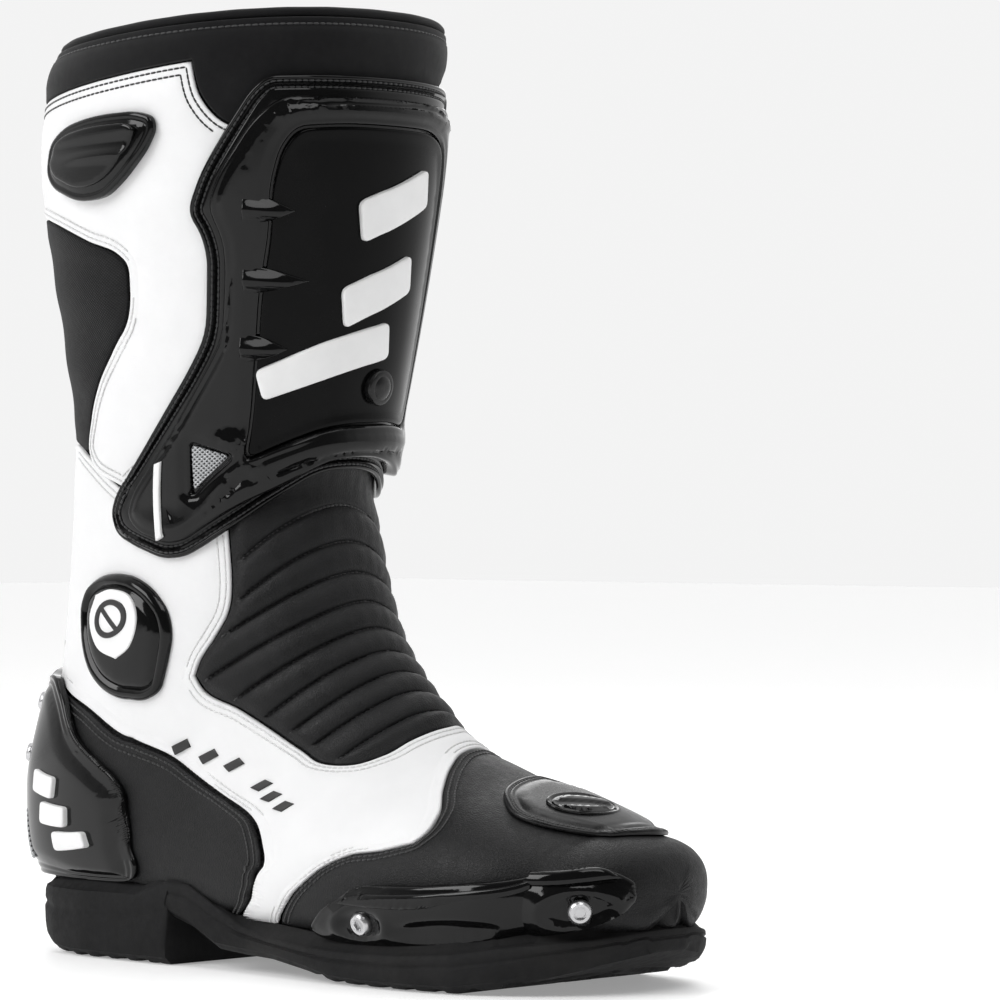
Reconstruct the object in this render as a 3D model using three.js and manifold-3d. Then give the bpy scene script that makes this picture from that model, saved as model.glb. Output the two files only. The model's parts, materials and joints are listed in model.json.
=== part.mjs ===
// Road-racing motorcycle boot for the right foot, in millimetres.
// +X points to the toe, +Y to the inner (medial) side, +Z up; the tread stands on z = 0.
import * as THREE from 'three';
import Module from 'manifold-3d';

const wasm = await Module();
wasm.setup();

// ---------------------------------------------------------------- dimensions
const TOE_S = 420;            // station where the nose starts to close
const TIP_S = 450;            // station of the nose point
const TIP = [148, 7, 33];     // the nose point of the last
const NOSE = 0.6;             // bluntness of the nose in side view, 1 for an ellipse
const PIVOT = [-66, 115];     // ankle axis, x and z
const SPLIT_R = 50;           // radius of the foot lining's ankle disc
const FLEX_FRONT = 17;        // free wedge in front of the ankle, degrees
const FLEX_BACK = 12;         // free wedge behind the ankle, degrees
const LINING = [-4.6, -2.3];  // layers, measured outwards from the last
const INTER = [-1.0, -0.2];
const OUTER = [0.6, 2.0];
const OVER = 2.9;
const ZIP = -97;              // angle of the zip line
const ZIP_END = 264;          // lower end of the zip
const SEAT = 2.8;             // offset of the outsole's seat from the last

// station, ridge x z, back x z, depth of the widest line, half widths lateral and
// medial, squareness front and back, sideways shift
const LAST = [
  [-15, 17, 347, -107, 338, 0.50, 60, 65, 2.2, 2.2, 0],
  [0, 18, 333, -113, 322, 0.50, 62, 64.5, 2.2, 2.2, 0],
  [20, 18.5, 313, -121, 303, 0.50, 64.5, 63, 2.2, 2.2, 0],
  [60, 14, 272, -123, 266, 0.50, 62, 58, 2.2, 2.2, 0],
  [100, 8, 232, -119, 228, 0.50, 55, 52.5, 2.2, 2.2, 0],
  [140, 1, 194, -115.5, 188, 0.50, 48, 47, 2.2, 2.2, 0],
  [170, -4, 168, -117.5, 160, 0.50, 45, 42.5, 2.2, 2.2, 0],
  [195, 0, 147, -121.5, 130, 0.50, 44, 41, 2.2, 2.2, 0],
  [225, 12, 120, -127.5, 96, 0.48, 43, 40, 2.1, 2.3, 0],
  [255, 26, 103, -139, 56, 0.45, 41, 39, 2.1, 2.5, 0],
  [285, 42, 89, -128, 24, 0.42, 40, 38, 2.1, 2.8, 0],
  [315, 60, 77, -72, 18, 0.39, 42, 41, 2.1, 3.1, 0],
  [345, 79, 68, 0, 14, 0.37, 47, 45, 2.2, 3.4, 0],
  [375, 98, 61, 60, 13, 0.37, 50, 46, 2.3, 3.6, 1],
  [400, 115, 55, 98, 16, 0.36, 47, 41, 2.3, 3.4, 3],
  [420, 127, 50, 118, 21, 0.37, 39, 33, 2.3, 3.0, 5],
];

// ---------------------------------------------------------------- the last
const slopes = LAST.map((row, i) => {
  const a = LAST[Math.max(i - 1, 0)];
  const b = LAST[Math.min(i + 1, LAST.length - 1)];
  return row.map((v, k) => (b[k] - a[k]) / (b[0] - a[0]));
});

function section(s) {
  const at = Math.min(Math.max(s, LAST[0][0]), TOE_S);
  let i = LAST.length - 2;
  while (i > 0 && LAST[i][0] > at) i -= 1;
  const h = LAST[i + 1][0] - LAST[i][0];
  const u = (at - LAST[i][0]) / h;
  const c0 = 2 * u ** 3 - 3 * u ** 2 + 1;
  const t0 = (u ** 3 - 2 * u ** 2 + u) * h;
  const t1 = (u ** 3 - u ** 2) * h;
  return LAST[i].map((v, k) => (
    c0 * v + (1 - c0) * LAST[i + 1][k] + t0 * slopes[i][k] + t1 * slopes[i + 1][k]
  ));
}

// a point of the last: s runs down the shaft and along the foot, th is 0 on the
// ridge, 90 on the outer side, 180 on the back and the sole
function lastPoint(s, th) {
  const [, xr, zr, xb, zb, depth, wl, wm, nf, nb, shift] = section(s);
  const close = Math.PI / 2 * Math.min(Math.max((s - TOE_S) / (TIP_S - TOE_S), 0), 1);
  const sn = Math.sin(close);
  const cs = Math.cos(close);
  const xRidge = xr + (TIP[0] - xr) * sn;
  const xBack = xb + (TIP[0] - xb) * sn;
  const zRidge = TIP[2] + (zr - TIP[2]) * cs ** NOSE;
  const zBack = TIP[2] + (zb - TIP[2]) * cs ** NOSE;
  const y0 = shift + (TIP[1] - shift) * sn;
  const c = Math.cos(th * Math.PI / 180);
  const d = Math.sin(th * Math.PI / 180);
  const n = c >= 0 ? nf : nb;
  const along = Math.abs(c) ** (2 / n);
  const across = Math.abs(d) ** (2 / n);
  const xMid = xBack + depth * (xRidge - xBack);
  const zMid = zBack + depth * (zRidge - zBack);
  const [xEnd, zEnd] = c >= 0 ? [xRidge, zRidge] : [xBack, zBack];
  const y = y0 + (d >= 0 ? -across * wl : across * wm) * cs;
  return new THREE.Vector3(xMid + along * (xEnd - xMid), y, zMid + along * (zEnd - zMid));
}

function lastNormal(s, th) {
  if (s > TIP_S - 0.5) return new THREE.Vector3(1, 0, 0);
  const ds = lastPoint(s + 0.4, th).sub(lastPoint(s - 0.4, th));
  const dth = lastPoint(s, th + 0.5).sub(lastPoint(s, th - 0.5));
  return dth.cross(ds).normalize();
}

const at = (s, th, w) => lastPoint(s, th).addScaledVector(lastNormal(s, th), w);

// ---------------------------------------------------------------- cutting and wrapping
const S_LINES = [
  20, 40, 60, 80, 100, 120, 140, 160, 180, 198, 214, 230, 244, 256, 266, 275, 282, 289, 297,
  306, 318, 336, 354, 372, 390, 406, 420, 429, 437, 444,
].map((s) => s + 0.13);
const TH_LINES = [];
for (let th = -240; th < 300; th += 12) TH_LINES.push(th + 0.37);
const COARSE_S = [
  30, 60, 90, 120, 150, 175, 200, 222, 242, 258, 270, 280, 290, 304, 324, 350, 376, 400, 420,
  432, 442,
].map((s) => s + 0.21);
const COARSE_TH = [];
for (let th = -195; th < 196; th += 15) COARSE_TH.push(th + 0.43);

function clipSide(poly, axis, limit, sign) {
  const out = [];
  poly.forEach((p, i) => {
    const q = poly[(i + 1) % poly.length];
    const dp = (p[axis] - limit) * sign;
    const dq = (q[axis] - limit) * sign;
    if (dp >= 0) out.push(p);
    if ((dp > 0 && dq < 0) || (dp < 0 && dq > 0)) {
      const t = dp / (dp - dq);
      const cut = [p[0] + t * (q[0] - p[0]), p[1] + t * (q[1] - p[1])];
      cut[axis] = limit;
      out.push(cut);
    }
  });
  return out;
}

const keyOf = (p) => `${Math.round(p[0] * 100)},${Math.round(p[1] * 100)}`;

// chains the open edges of one cell's pieces into loops and drops straight points
function cellLoops(pieces) {
  const points = new Map();
  const edges = new Map();
  for (const poly of pieces) {
    const keys = poly.map(keyOf);
    keys.forEach((k, i) => points.set(k, poly[i]));
    const ring = keys.filter((k, i) => k !== keys[(i + keys.length - 1) % keys.length]);
    ring.forEach((a, i) => {
      const b = ring[(i + 1) % ring.length];
      if (edges.get(b)?.delete(a)) return;
      if (!edges.has(a)) edges.set(a, new Set());
      edges.get(a).add(b);
    });
  }
  const loops = [];
  for (const [start, nexts] of edges) {
    while (nexts.size) {
      const loop = [];
      let k = start;
      do {
        loop.push(points.get(k));
        const next = edges.get(k).values().next().value;
        edges.get(k).delete(next);
        k = next;
      } while (k !== start && edges.get(k)?.size);
      loops.push(loop);
    }
  }
  return loops.map((loop) => loop.filter((p, i) => {
    const a = loop[(i + loop.length - 1) % loop.length];
    const b = loop[(i + 1) % loop.length];
    const turn = (p[0] - a[0]) * (b[1] - p[1]) - (p[1] - a[1]) * (b[0] - p[0]);
    return Math.abs(turn) > 1e-3 * Math.hypot(b[0] - a[0], b[1] - a[1]);
  })).filter((loop) => loop.length > 2);
}

const vec2 = (loop) => loop.map(([x, y]) => new THREE.Vector2(x, y));

// a flat outline cut along grid lines: triangles of [u, v] points
function cutPattern(outline, holes, uLines, vLines) {
  const contour = vec2(outline);
  const inner = holes.map(vec2);
  if (THREE.ShapeUtils.isClockWise(contour)) contour.reverse();
  const all = [contour, ...inner].flat().map((p) => [p.x, p.y]);
  const cells = new Map();
  const spans = (lines, lo, hi) => {
    const edges = [-1e4, ...lines, 1e4];
    const list = [];
    for (let i = 0; i + 1 < edges.length; i += 1) {
      if (edges[i] < hi && edges[i + 1] > lo) list.push([edges[i], edges[i + 1], i]);
    }
    return list;
  };
  for (const face of THREE.ShapeUtils.triangulateShape(contour, inner)) {
    const tri = face.map((i) => all[i]);
    const us = tri.map((p) => p[0]);
    const vs = tri.map((p) => p[1]);
    for (const [u0, u1, iu] of spans(uLines, Math.min(...us), Math.max(...us))) {
      const strip = clipSide(clipSide(tri, 0, u0, 1), 0, u1, -1);
      for (const [v0, v1, iv] of spans(vLines, Math.min(...vs), Math.max(...vs))) {
        const piece = clipSide(clipSide(strip, 1, v0, 1), 1, v1, -1)
          .map((p) => p.map((c) => Math.round(c * 100) / 100));
        const cell = iu * 1000 + iv;
        if (piece.length > 2) cells.set(cell, [...(cells.get(cell) ?? []), piece]);
      }
    }
  }
  const triangles = [];
  for (const pieces of cells.values()) {
    const loops = cellLoops(pieces).map(vec2);
    const outers = loops.filter((l) => THREE.ShapeUtils.area(l) > 0);
    const inners = loops.filter((l) => THREE.ShapeUtils.area(l) < 0);
    for (const outer of outers) {
      const mine = outers.length === 1 ? inners : [];
      const ring = [outer, ...mine].flat();
      for (const face of THREE.ShapeUtils.triangulateShape(outer, mine)) {
        triangles.push(face.map((i) => [ring[i].x, ring[i].y]));
      }
    }
  }
  return triangles;
}

function geometryOf(points, faces) {
  let volume = 0;
  for (const [a, b, c] of faces) volume += points[a].dot(points[b].clone().cross(points[c]));
  const turned = volume < 0 ? faces.map(([a, b, c]) => [a, c, b]) : faces;
  const geometry = new THREE.BufferGeometry().setFromPoints(points);
  geometry.setIndex(turned.flat());
  return geometry;
}

// closed solid between two surfaces over a flat pattern
function wrapSolid(outline, inner, outer, options = {}) {
  const { holes = [], us = S_LINES, vs = TH_LINES } = options;
  const ids = new Map();
  const low = [];
  const high = [];
  const idOf = ([u, v]) => {
    const p = inner(u, v);
    const key = [p.x, p.y, p.z].map((c) => Math.round(c * 500)).join();
    if (!ids.has(key)) {
      ids.set(key, low.length);
      low.push(p);
      high.push(outer(u, v));
    }
    return ids.get(key);
  };
  const top = cutPattern(outline, holes, us, vs).map((tri) => tri.map(idOf))
    .filter(([a, b, c]) => a !== b && b !== c && c !== a);
  const open = new Map();
  for (const face of top) {
    face.forEach((a, i) => {
      const b = face[(i + 1) % 3];
      if (open.has(`${b},${a}`)) open.delete(`${b},${a}`);
      else open.set(`${a},${b}`, [a, b]);
    });
  }
  const n = low.length;
  const faces = [...top.map(([a, b, c]) => [a + n, b + n, c + n])];
  for (const [a, b, c] of top) faces.push([a, c, b]);
  for (const [a, b] of open.values()) faces.push([b + n, a + n, a], [b + n, a, b]);
  return geometryOf([...low, ...high], faces);
}

// a pattern piece laid on the last between two heights (numbers or functions)
function panel(outline, w0, w1, options = {}) {
  const low = typeof w0 === 'function' ? w0 : () => w0;
  const high = typeof w1 === 'function' ? w1 : () => w1;
  return wrapSolid(
    outline,
    (s, th) => at(s, th, low(s, th)),
    (s, th) => at(s, th, high(s, th)),
    options,
  );
}

// closed body from rings of points; the ends close on single points
function ringSolid(rings, first, last) {
  const n = rings[0].length;
  const points = [first, ...rings.flat(), last];
  const end = points.length - 1;
  const faces = [];
  for (let i = 0; i < n; i += 1) {
    const j = (i + 1) % n;
    faces.push([0, 1 + j, 1 + i]);
    for (let r = 0; r + 1 < rings.length; r += 1) {
      const a = 1 + r * n;
      const b = a + n;
      faces.push([a + i, a + j, b + j], [a + i, b + j, b + i]);
    }
    faces.push([end, end - n + i, end - n + j]);
  }
  return geometryOf(points, faces);
}

// turned part on the last's normal; a profile row is [radius, height, sides]
function turned(s, th, profile, n = 24) {
  const normal = lastNormal(s, th);
  const side = at(s + 1, th, 0).sub(at(s - 1, th, 0));
  side.addScaledVector(normal, -side.dot(normal)).normalize();
  const other = normal.clone().cross(side);
  const foot = lastPoint(s, th);
  const ringAt = ([r, h, sides]) => Array.from({ length: n }, (_, i) => {
    const a = i / n * 2 * Math.PI;
    const flat = Math.PI / (sides ?? n);
    const turn = ((a % (2 * flat)) + 2 * flat) % (2 * flat) - flat;
    const reach = sides ? r * Math.cos(flat) / Math.cos(turn) : r;
    return foot.clone().addScaledVector(normal, h)
      .addScaledVector(side, reach * Math.cos(a)).addScaledVector(other, reach * Math.sin(a));
  });
  const ends = [profile[0], profile.at(-1)]
    .map(([, h]) => foot.clone().addScaledVector(normal, h));
  return ringSolid(profile.map(ringAt), ends[0], ends[1]);
}

// round or rounded-square outline in the pattern, centre and half sizes
function oval(s, th, rs, rth, n = 16, power = 2) {
  return Array.from({ length: n }, (_, i) => {
    const a = (i + 0.5) / n * 2 * Math.PI;
    const c = Math.cos(a);
    const d = Math.sin(a);
    return [
      s + rs * Math.sign(c) * Math.abs(c) ** (2 / power),
      th + rth * Math.sign(d) * Math.abs(d) ** (2 / power),
    ];
  });
}

const box = (s0, s1, th0, th1) => [[s0, th0], [s1, th0], [s1, th1], [s0, th1]];

const smooth = (a, b, x) => {
  const t = Math.min(Math.max((x - a) / (b - a), 0), 1);
  return t * t * (3 - 2 * t);
};

function toManifold(geometry) {
  return new wasm.Manifold(new wasm.Mesh({
    numProp: 3,
    vertProperties: new Float32Array(geometry.getAttribute('position').array),
    triVerts: new Uint32Array(geometry.getIndex().array),
  }));
}

function fromManifold(body) {
  const mesh = body.getMesh();
  const geometry = new THREE.BufferGeometry();
  const position = new Float32Array(mesh.vertProperties);
  geometry.setAttribute('position', new THREE.BufferAttribute(position, 3));
  geometry.setIndex(Array.from(mesh.triVerts));
  return geometry;
}

// ---------------------------------------------------------------- materials
const LOOKS = {
  rubber: [0x17181a, 0.85, 0],
  board: [0x8a7152, 0.9, 0],
  steel: [0xb9bcc0, 0.35, 1],
  foam: [0x3c3e42, 0.95, 0],
  textile: [0x222326, 0.95, 0],
  leather: [0x1b1b1d, 0.55, 0],
  white: [0xe9eaec, 0.5, 0],
  suede: [0x202124, 0.9, 0],
  neoprene: [0x1a1b1d, 0.9, 0],
  matte: [0x1d1e20, 0.6, 0],
  gloss: [0x111214, 0.12, 0],
  badge: [0xf2f3f5, 0.3, 0],
  mesh: [0xa8acb2, 0.6, 0.3],
  zip: [0x2a2b2e, 0.45, 0.2],
};

const boot = new THREE.Group();
boot.name = 'road_racing_boot';

function add(name, geometry, look) {
  const [color, roughness, metalness] = LOOKS[look];
  const material = new THREE.MeshStandardMaterial({ color, roughness, metalness });
  geometry.computeVertexNormals();
  const mesh = new THREE.Mesh(geometry, material);
  mesh.name = name;
  boot.add(mesh);
}

// ---------------------------------------------------------------- sole
// x, height of the tread, top of the side wall, half widths outer and inner
const SOLE = [
  [-134, 12, 24.5, 12, 12],
  [-130, 8, 24.5, 22, 22],
  [-122, 3, 24.5, 32, 31],
  [-110, 0, 24.5, 39, 37],
  [-90, 0, 24.5, 43.5, 41],
  [-60, 0, 25, 45, 43],
  [-47, 0, 29, 45.5, 43],
  [-43.5, 0, 30, 45.5, 43],
  [-42.5, 17, 30, 45.5, 43],
  [-33, 14, 29.5, 45, 42.5],
  [-19, 7, 23, 45, 42],
  [-5, 6, 17, 46, 42.5],
  [10, 5.5, 14, 48, 44],
  [30, 3, 12.5, 51, 46.5],
  [45, 0.4, 12, 53, 48],
  [60, 0, 12, 54, 49],
  [80, 0, 12.5, 54, 50],
  [100, 0, 14, 51, 49],
  [116, 2.5, 16.5, 45, 46],
  [130, 6.5, 19.5, 36, 41],
  [140, 9.5, 21.5, 25, 33],
  [146, 12, 23, 14.5, 24.5],
  [148.6, 13.3, 23.6, 6, 17],
  [149.9, 14, 23.9, 2, 13],
];

function soleRow(x) {
  const i = Math.max(SOLE.findIndex((row) => row[0] >= x), 1);
  const t = (x - SOLE[i - 1][0]) / (SOLE[i][0] - SOLE[i - 1][0]);
  return SOLE[i].map((v, k) => SOLE[i - 1][k] + t * (v - SOLE[i - 1][k]));
}

function treadSlab() {
  const rim = [
    ...SOLE.map(([x, , , outer]) => [x, -outer]),
    ...SOLE.map(([x, , , , inner]) => [x, inner]).reverse(),
  ];
  const xs = SOLE.slice(1, -1).map(([x]) => x + 0.03);
  const ys = [-38, -24, 24, 38];
  return wrapSolid(
    rim,
    (x, y) => {
      const edge = 1 - 0.07 * smooth(0.7, 1, Math.abs(y) / soleRow(x)[y < 0 ? 3 : 4]);
      const notch = x > -43 && x < 30 ? smooth(24, 40, Math.abs(y)) : 1;
      const z = Math.min(soleRow(x)[1], 7) * (1 - notch) + soleRow(x)[1] * notch;
      return new THREE.Vector3(x * (x < -125 ? 0.985 : 1), y * edge, z);
    },
    (x, y) => new THREE.Vector3(x, y, soleRow(x)[2]),
    { us: xs, vs: ys },
  );
}

// the filled last from station 230 down, as one closed body
function filledLast(w) {
  const stations = [230, ...S_LINES.filter((s) => s > 240)];
  const rings = stations.map((s) => (
    Array.from({ length: 36 }, (_, i) => at(s, i * 10 - 180, w))
  ));
  const top = rings[0].reduce((sum, p) => sum.add(p), new THREE.Vector3()).divideScalar(36);
  return ringSolid(rings, top, at(TIP_S, 0, w));
}

const SHANK = [[303, 172], [352, 174], [352, 186], [303, 188]];

function buildSole() {
  const grown = [[301.5, 171], [353.5, 173], [353.5, 187], [301.5, 189]];
  const pocket = toManifold(panel(grown, 0, 4.6));
  const body = toManifold(treadSlab()).subtract(toManifold(filledLast(SEAT))).subtract(pocket);
  add('outsole', fromManifold(body), 'rubber');
  add('steel_shank', panel(SHANK, 2.7, 4.0), 'steel');
  const board = [
    [292, 180], [295, 166], [304, 155], [321, 144], [436, 144], [436, 216],
    [321, 216], [304, 205], [295, 194],
  ];
  add('lasting_board', panel(board, OUTER[0], OUTER[1]), 'board');
  const insole = [
    [296, 180], [299, 166], [310, 155], [330, 146], [415, 144], [426, 160], [426, 200],
    [415, 216], [330, 214], [310, 205], [299, 194],
  ];
  add('insole', panel(insole, -9.6, -5.7, { us: COARSE_S, vs: COARSE_TH }), 'foam');
}

// ---------------------------------------------------------------- lining
// station where the line at angle th meets the ankle disc or the rays beside it
function splitStation(th, radius, front, back) {
  for (let s = 60; s < 330; s += 0.5) {
    const p = at(s, th, -2.7);
    const x = p.x - PIVOT[0];
    const z = p.z - PIVOT[1];
    const ray = Math.atan2(z, Math.abs(x)) * 180 / Math.PI;
    if (Math.hypot(x, z) < radius || ray < (x > 0 ? front : back)) return s;
  }
  return 330;
}

function splitLine(radius, front, back) {
  const line = [];
  for (let th = -180; th <= 180; th += 7.5) line.push([splitStation(th, radius, front, back), th]);
  return line;
}

function buildLining() {
  const grid = { us: COARSE_S, vs: COARSE_TH };
  const shaft = splitLine(SPLIT_R + 3, 44, 0);
  const foot = splitLine(SPLIT_R, 44 - FLEX_FRONT, -FLEX_BACK);
  add('shaft_lining', panel([[1, 180], [1, -180], ...shaft], ...LINING, grid), 'textile');
  add('foot_lining', panel([...foot, [TIP_S, 180], [TIP_S, -180]], ...LINING, grid), 'textile');
  add('toe_puff', panel(box(388, TIP_S, -120, 120), ...INTER), 'board');
  const counter = [
    [238, 150], [250, 128], [268, 112], [292, 112], [300, 130], [290, 150], [284, 180],
    [290, 210], [300, 230], [292, 248], [268, 248], [250, 232], [238, 210],
  ];
  add('heel_counter', panel(counter, ...INTER), 'board');
  add('ankle_foam', panel(oval(214, 94, 21, 26, 16), ...INTER), 'foam');
  add('shin_foam', panel(box(30, 150, -34, 34), ...INTER), 'foam');
  add('zip_gusset', panel(box(20, 156, ZIP - 9, ZIP + 9), ...INTER), 'textile');
}

// ---------------------------------------------------------------- foot uppers
function buildVamp() {
  const vamp = [
    [347, 138], [347, 106], [346, 92], [346.5, 84], [350, 76], [358.5, 70], [366.5, 62],
    [366.5, 55], [360.5, 43], [343.5, 29], [327.5, 16], [319.5, 7], [315.5, -5], [316.5, -17],
    [317.5, -35], [319.5, -55], [323.5, -76], [331, -90], [338, -105], [340, -138],
    [TIP_S, -138], [TIP_S, 138],
  ];
  add('vamp', panel(vamp, ...OUTER), 'leather');
  const pad = [
    [361, -13], [355, -7], [358, 6], [367, 17], [375, 22], [387, 28], [400, 28], [414, 23],
    [425, 16], [428, 1], [427, -20], [418, -36], [402, -44], [386, -42], [372, -33],
  ];
  const padTop = (s, th) => 4.4 + 0.5 * smooth(20, 0, Math.abs(th + 8));
  add('shift_pad', panel(pad, OVER, padTop), 'matte');
  add('toe_emblem', panel(oval(394, 4, 13, 15, 20), 5.3, 6.3), 'badge');
}

function buildQuarter() {
  const quarter = [
    [145.6, 148], [145.6, 129], [152, 114], [166, 93.5], [160, 86], [160, 50.5], [185, 50.5],
    [215, 56], [223, 62], [231, 68], [236, 70], [242, 68], [256, 58.5], [273, 51.5], [286, 48.5],
    [296, 47.5], [304.5, 42], [306, 32], [301.5, 19], [297.5, 2], [295.5, -15], [300.5, -24],
    [303.5, -37], [297.5, -46], [300.5, -60], [308, -75.5], [322.5, -75.5], [318.7, -55],
    [316.6, -35], [315.6, -17], [314.7, -5], [318.7, 7], [326.7, 16], [342.7, 29], [359.7, 43],
    [365.7, 55.5], [365.7, 61.5], [358, 69.2], [349.2, 75.5], [345.7, 84], [345.2, 92],
    [346.2, 106], [346.2, 138], [337, 138], [337, 104], [332, 90.5], [323, 81.4], [310, 74.2],
    [291, 72.2], [269.5, 77.2], [254.5, 88.2], [238.2, 105.5], [232.4, 118], [227.4, 134],
    [227.4, 148],
  ];
  add('quarter_white', panel(quarter, ...OUTER), 'white');
  const heel = [
    [228.2, 180], [228.2, 134.5], [233.2, 118.6], [239, 106.4], [255.2, 89.2], [270, 78.2],
    [291, 73.2], [309.7, 75.2], [322.3, 82.4], [331.2, 91.4], [336.2, 104.4], [336.2, 138],
    [318, 140], [300, 151], [291, 163], [288, 180], [291, 197], [300, 209], [318, 220],
    [336.2, 222], [336.2, 254.5], [331.2, 266], [322.3, 277], [309.7, 281.5], [291, 280],
    [278, 270.5], [269.5, 256.5], [255.2, 241.4], [240, 231.4], [231, 220.5], [228.2, 209],
  ];
  add('heel_panel', panel(heel, ...OUTER), 'leather');
  const front = [
    [160, -89.6], [160, -50.5], [185, -50.5], [215, -54.5], [236, -63], [256, -56.5],
    [273, -50.5], [296.7, -46.8], [299.6, -60.6], [307.3, -76.5], [323.2, -76.8], [330.5, -91],
    [323, -82], [309.7, -77.6], [291, -79], [277.5, -88.8], [271, -97], [267, -97], [ZIP_END + 1, -89.6],
  ];
  add('medial_quarter_front', panel(front, ...OUTER), 'suede');
  const rear = [
    [159.6, -104.6], [ZIP_END + 1, -104.6], [267, -105.5], [254.6, -118], [239.2, -127.6],
    [230.2, -139], [227.4, -149.6], [159.6, -149.6],
  ];
  add('medial_quarter_rear', panel(rear, ...OUTER), 'suede');
}

// ---------------------------------------------------------------- folding parts
// ribs sag from the ridge to the sides, so the pattern is sheared along them
const sag = (th) => 20 * Math.min(Math.abs(th) / 60, 1.1) ** 1.6;
const RIB = 13.6;

function buildBellows() {
  const outline = [
    [160, -49.8], [160, -34], [160, -18], [160, 0], [160, 18], [160, 34], [160, 49.8],
    [185, 49.8], [215, 55.3], [223, 61.3], [231, 67.2], [236, 69.1],
    [242, 67], [256, 57.6], [273, 50.6], [286, 47.6], [296, 46.6], [303.7, 41.5], [305, 32],
    [300.6, 20], [296.6, 2], [294.6, -15], [299.6, -25], [302.6, -37], [296.6, -45.2],
    [273, -49.6], [256, -55.6], [236, -62], [215, -53.7], [185, -49.8],
  ].map(([s, th]) => [s - sag(th), th * 0.985]);
  const ribLines = [];
  for (let u = 148; u < 300; u += RIB / 2) ribLines.push(u + 0.13);
  const thLines = [];
  for (let th = -64; th < 70; th += 16) thLines.push(th + 0.37);
  const rib = (u) => {
    const grow = smooth(172, 182, u) * smooth(300, 288, u);
    return 2 + 1.5 * grow * (0.5 - 0.5 * Math.cos((u - 148.13) / RIB * 2 * Math.PI));
  };
  add('accordion_front', wrapSolid(
    outline,
    (u, th) => at(u + sag(th), th, OUTER[0]),
    (u, th) => at(u + sag(th), th, rib(u)),
    { us: ribLines, vs: thLines },
  ), 'leather');
  const backLines = [];
  for (let s = 148; s < 228; s += 6) backLines.push(s + 0.13);
  const fold = (s) => 2 + 1.4 * smooth(146, 155, s) * smooth(218, 210, s)
    * (0.5 - 0.5 * Math.cos((s - 148.13) / 12 * 2 * Math.PI));
  const achilles = box(145.6, 227.4, 148.8, 209.6);
  add('achilles_accordion', panel(achilles, OUTER[0], fold, { us: backLines }), 'leather');
}

// ---------------------------------------------------------------- hard parts of the foot
function buildHeel() {
  const cup = [
    [224, 150], [224, 132], [233, 119], [245, 109], [254, 100], [264, 93], [272, 91], [288, 93],
    [303, 103], [308, 114], [295, 122], [287.5, 131], [283.5, 140], [281, 148], [278, 162],
    [276.5, 180], [278, 198], [281, 212], [283.5, 220], [287.5, 229], [295, 238], [306, 246],
    [302, 254], [288, 259], [277, 254], [268, 243], [254, 233], [240, 226], [228, 218],
    [222, 205], [220, 180], [221, 160],
  ];
  const crown = (s, th) => 4.6 + 1.4 * smooth(70, 20, Math.abs(th - 180)) + 0.9 * smooth(300, 250, s);
  add('heel_cup', panel(cup, OVER, crown), 'matte');
  const badge = [
    [250, 112], [262, 104], [279, 104], [290, 112], [282, 127], [271, 119], [262, 122], [254, 128],
  ];
  add('heel_badge', panel(badge, 6.7, 7.5), 'badge');
  const screw = [[3.6, 7.2], [3.6, 8.4], [2.6, 9.1], [1.5, 9.1, 6], [1.5, 8, 6]];
  add('heel_screw_upper', turned(232, 152, screw, 18), 'steel');
  add('heel_screw_lower', turned(246, 150, screw, 18), 'steel');
}

function buildSlider() {
  const body = [
    [357, 112], [359, 96], [364, 87], [387, 81], [415, 76], [427, 68], [435, 58], [440, 66],
    [441, 90], [438, 111], [425, 118], [400, 121], [375, 121], [361, 119],
  ];
  const bulge = (s, th) => 4.6 + 2.4 * smooth(70, 92, th) * smooth(445, 425, s)
    - 1.6 * smooth(18, 6, Math.hypot((s - 395) * 0.6, th - 104));
  add('toe_slider', panel(body, OVER, bulge), 'matte');
  const strip = [
    [366, 92.5], [366, 89], [388, 84.5], [415, 79.5], [427, 73], [430, 76], [416, 84], [389, 89],
  ];
  add('toe_slider_strip', panel(strip, 7.5, 8.3), 'gloss');
  const screw = [[4.2, 7.5], [4.2, 9.2], [3.4, 9.9], [2, 9.9, 6], [2, 8.4, 6]];
  add('slider_screw_rear', turned(371, 103, screw, 18), 'steel');
  add('slider_screw_front', turned(431, 96, screw, 18), 'steel');
}

function buildAnkleGuard() {
  const body = [
    [195, 91], [194, 101], [197, 110], [204, 114], [214, 112], [225, 106], [232, 100],
    [238, 92], [241, 85], [239, 80], [231, 78], [219, 75], [210, 76], [201, 82],
  ];
  const dome = (s, th) => 3.8 + 3 * smooth(1, 0.35, Math.hypot((s - 216) / 24, (th - 94) / 20));
  add('ankle_guard', panel(body, OVER, dome), 'matte');
  const insert = [
    [201, 100], [200, 94], [204, 87], [210, 85], [221, 88], [224, 92], [218, 100], [208, 103],
  ];
  add('ankle_guard_insert', panel(insert, 7.2, 8.0), 'badge');
  const ring = oval(210, 94, 6.5, 6, 16);
  add('ankle_guard_ring', panel(ring, 8.4, 9.1, { holes: [oval(210, 94, 4, 3.6, 12)] }), 'steel');
}

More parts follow.
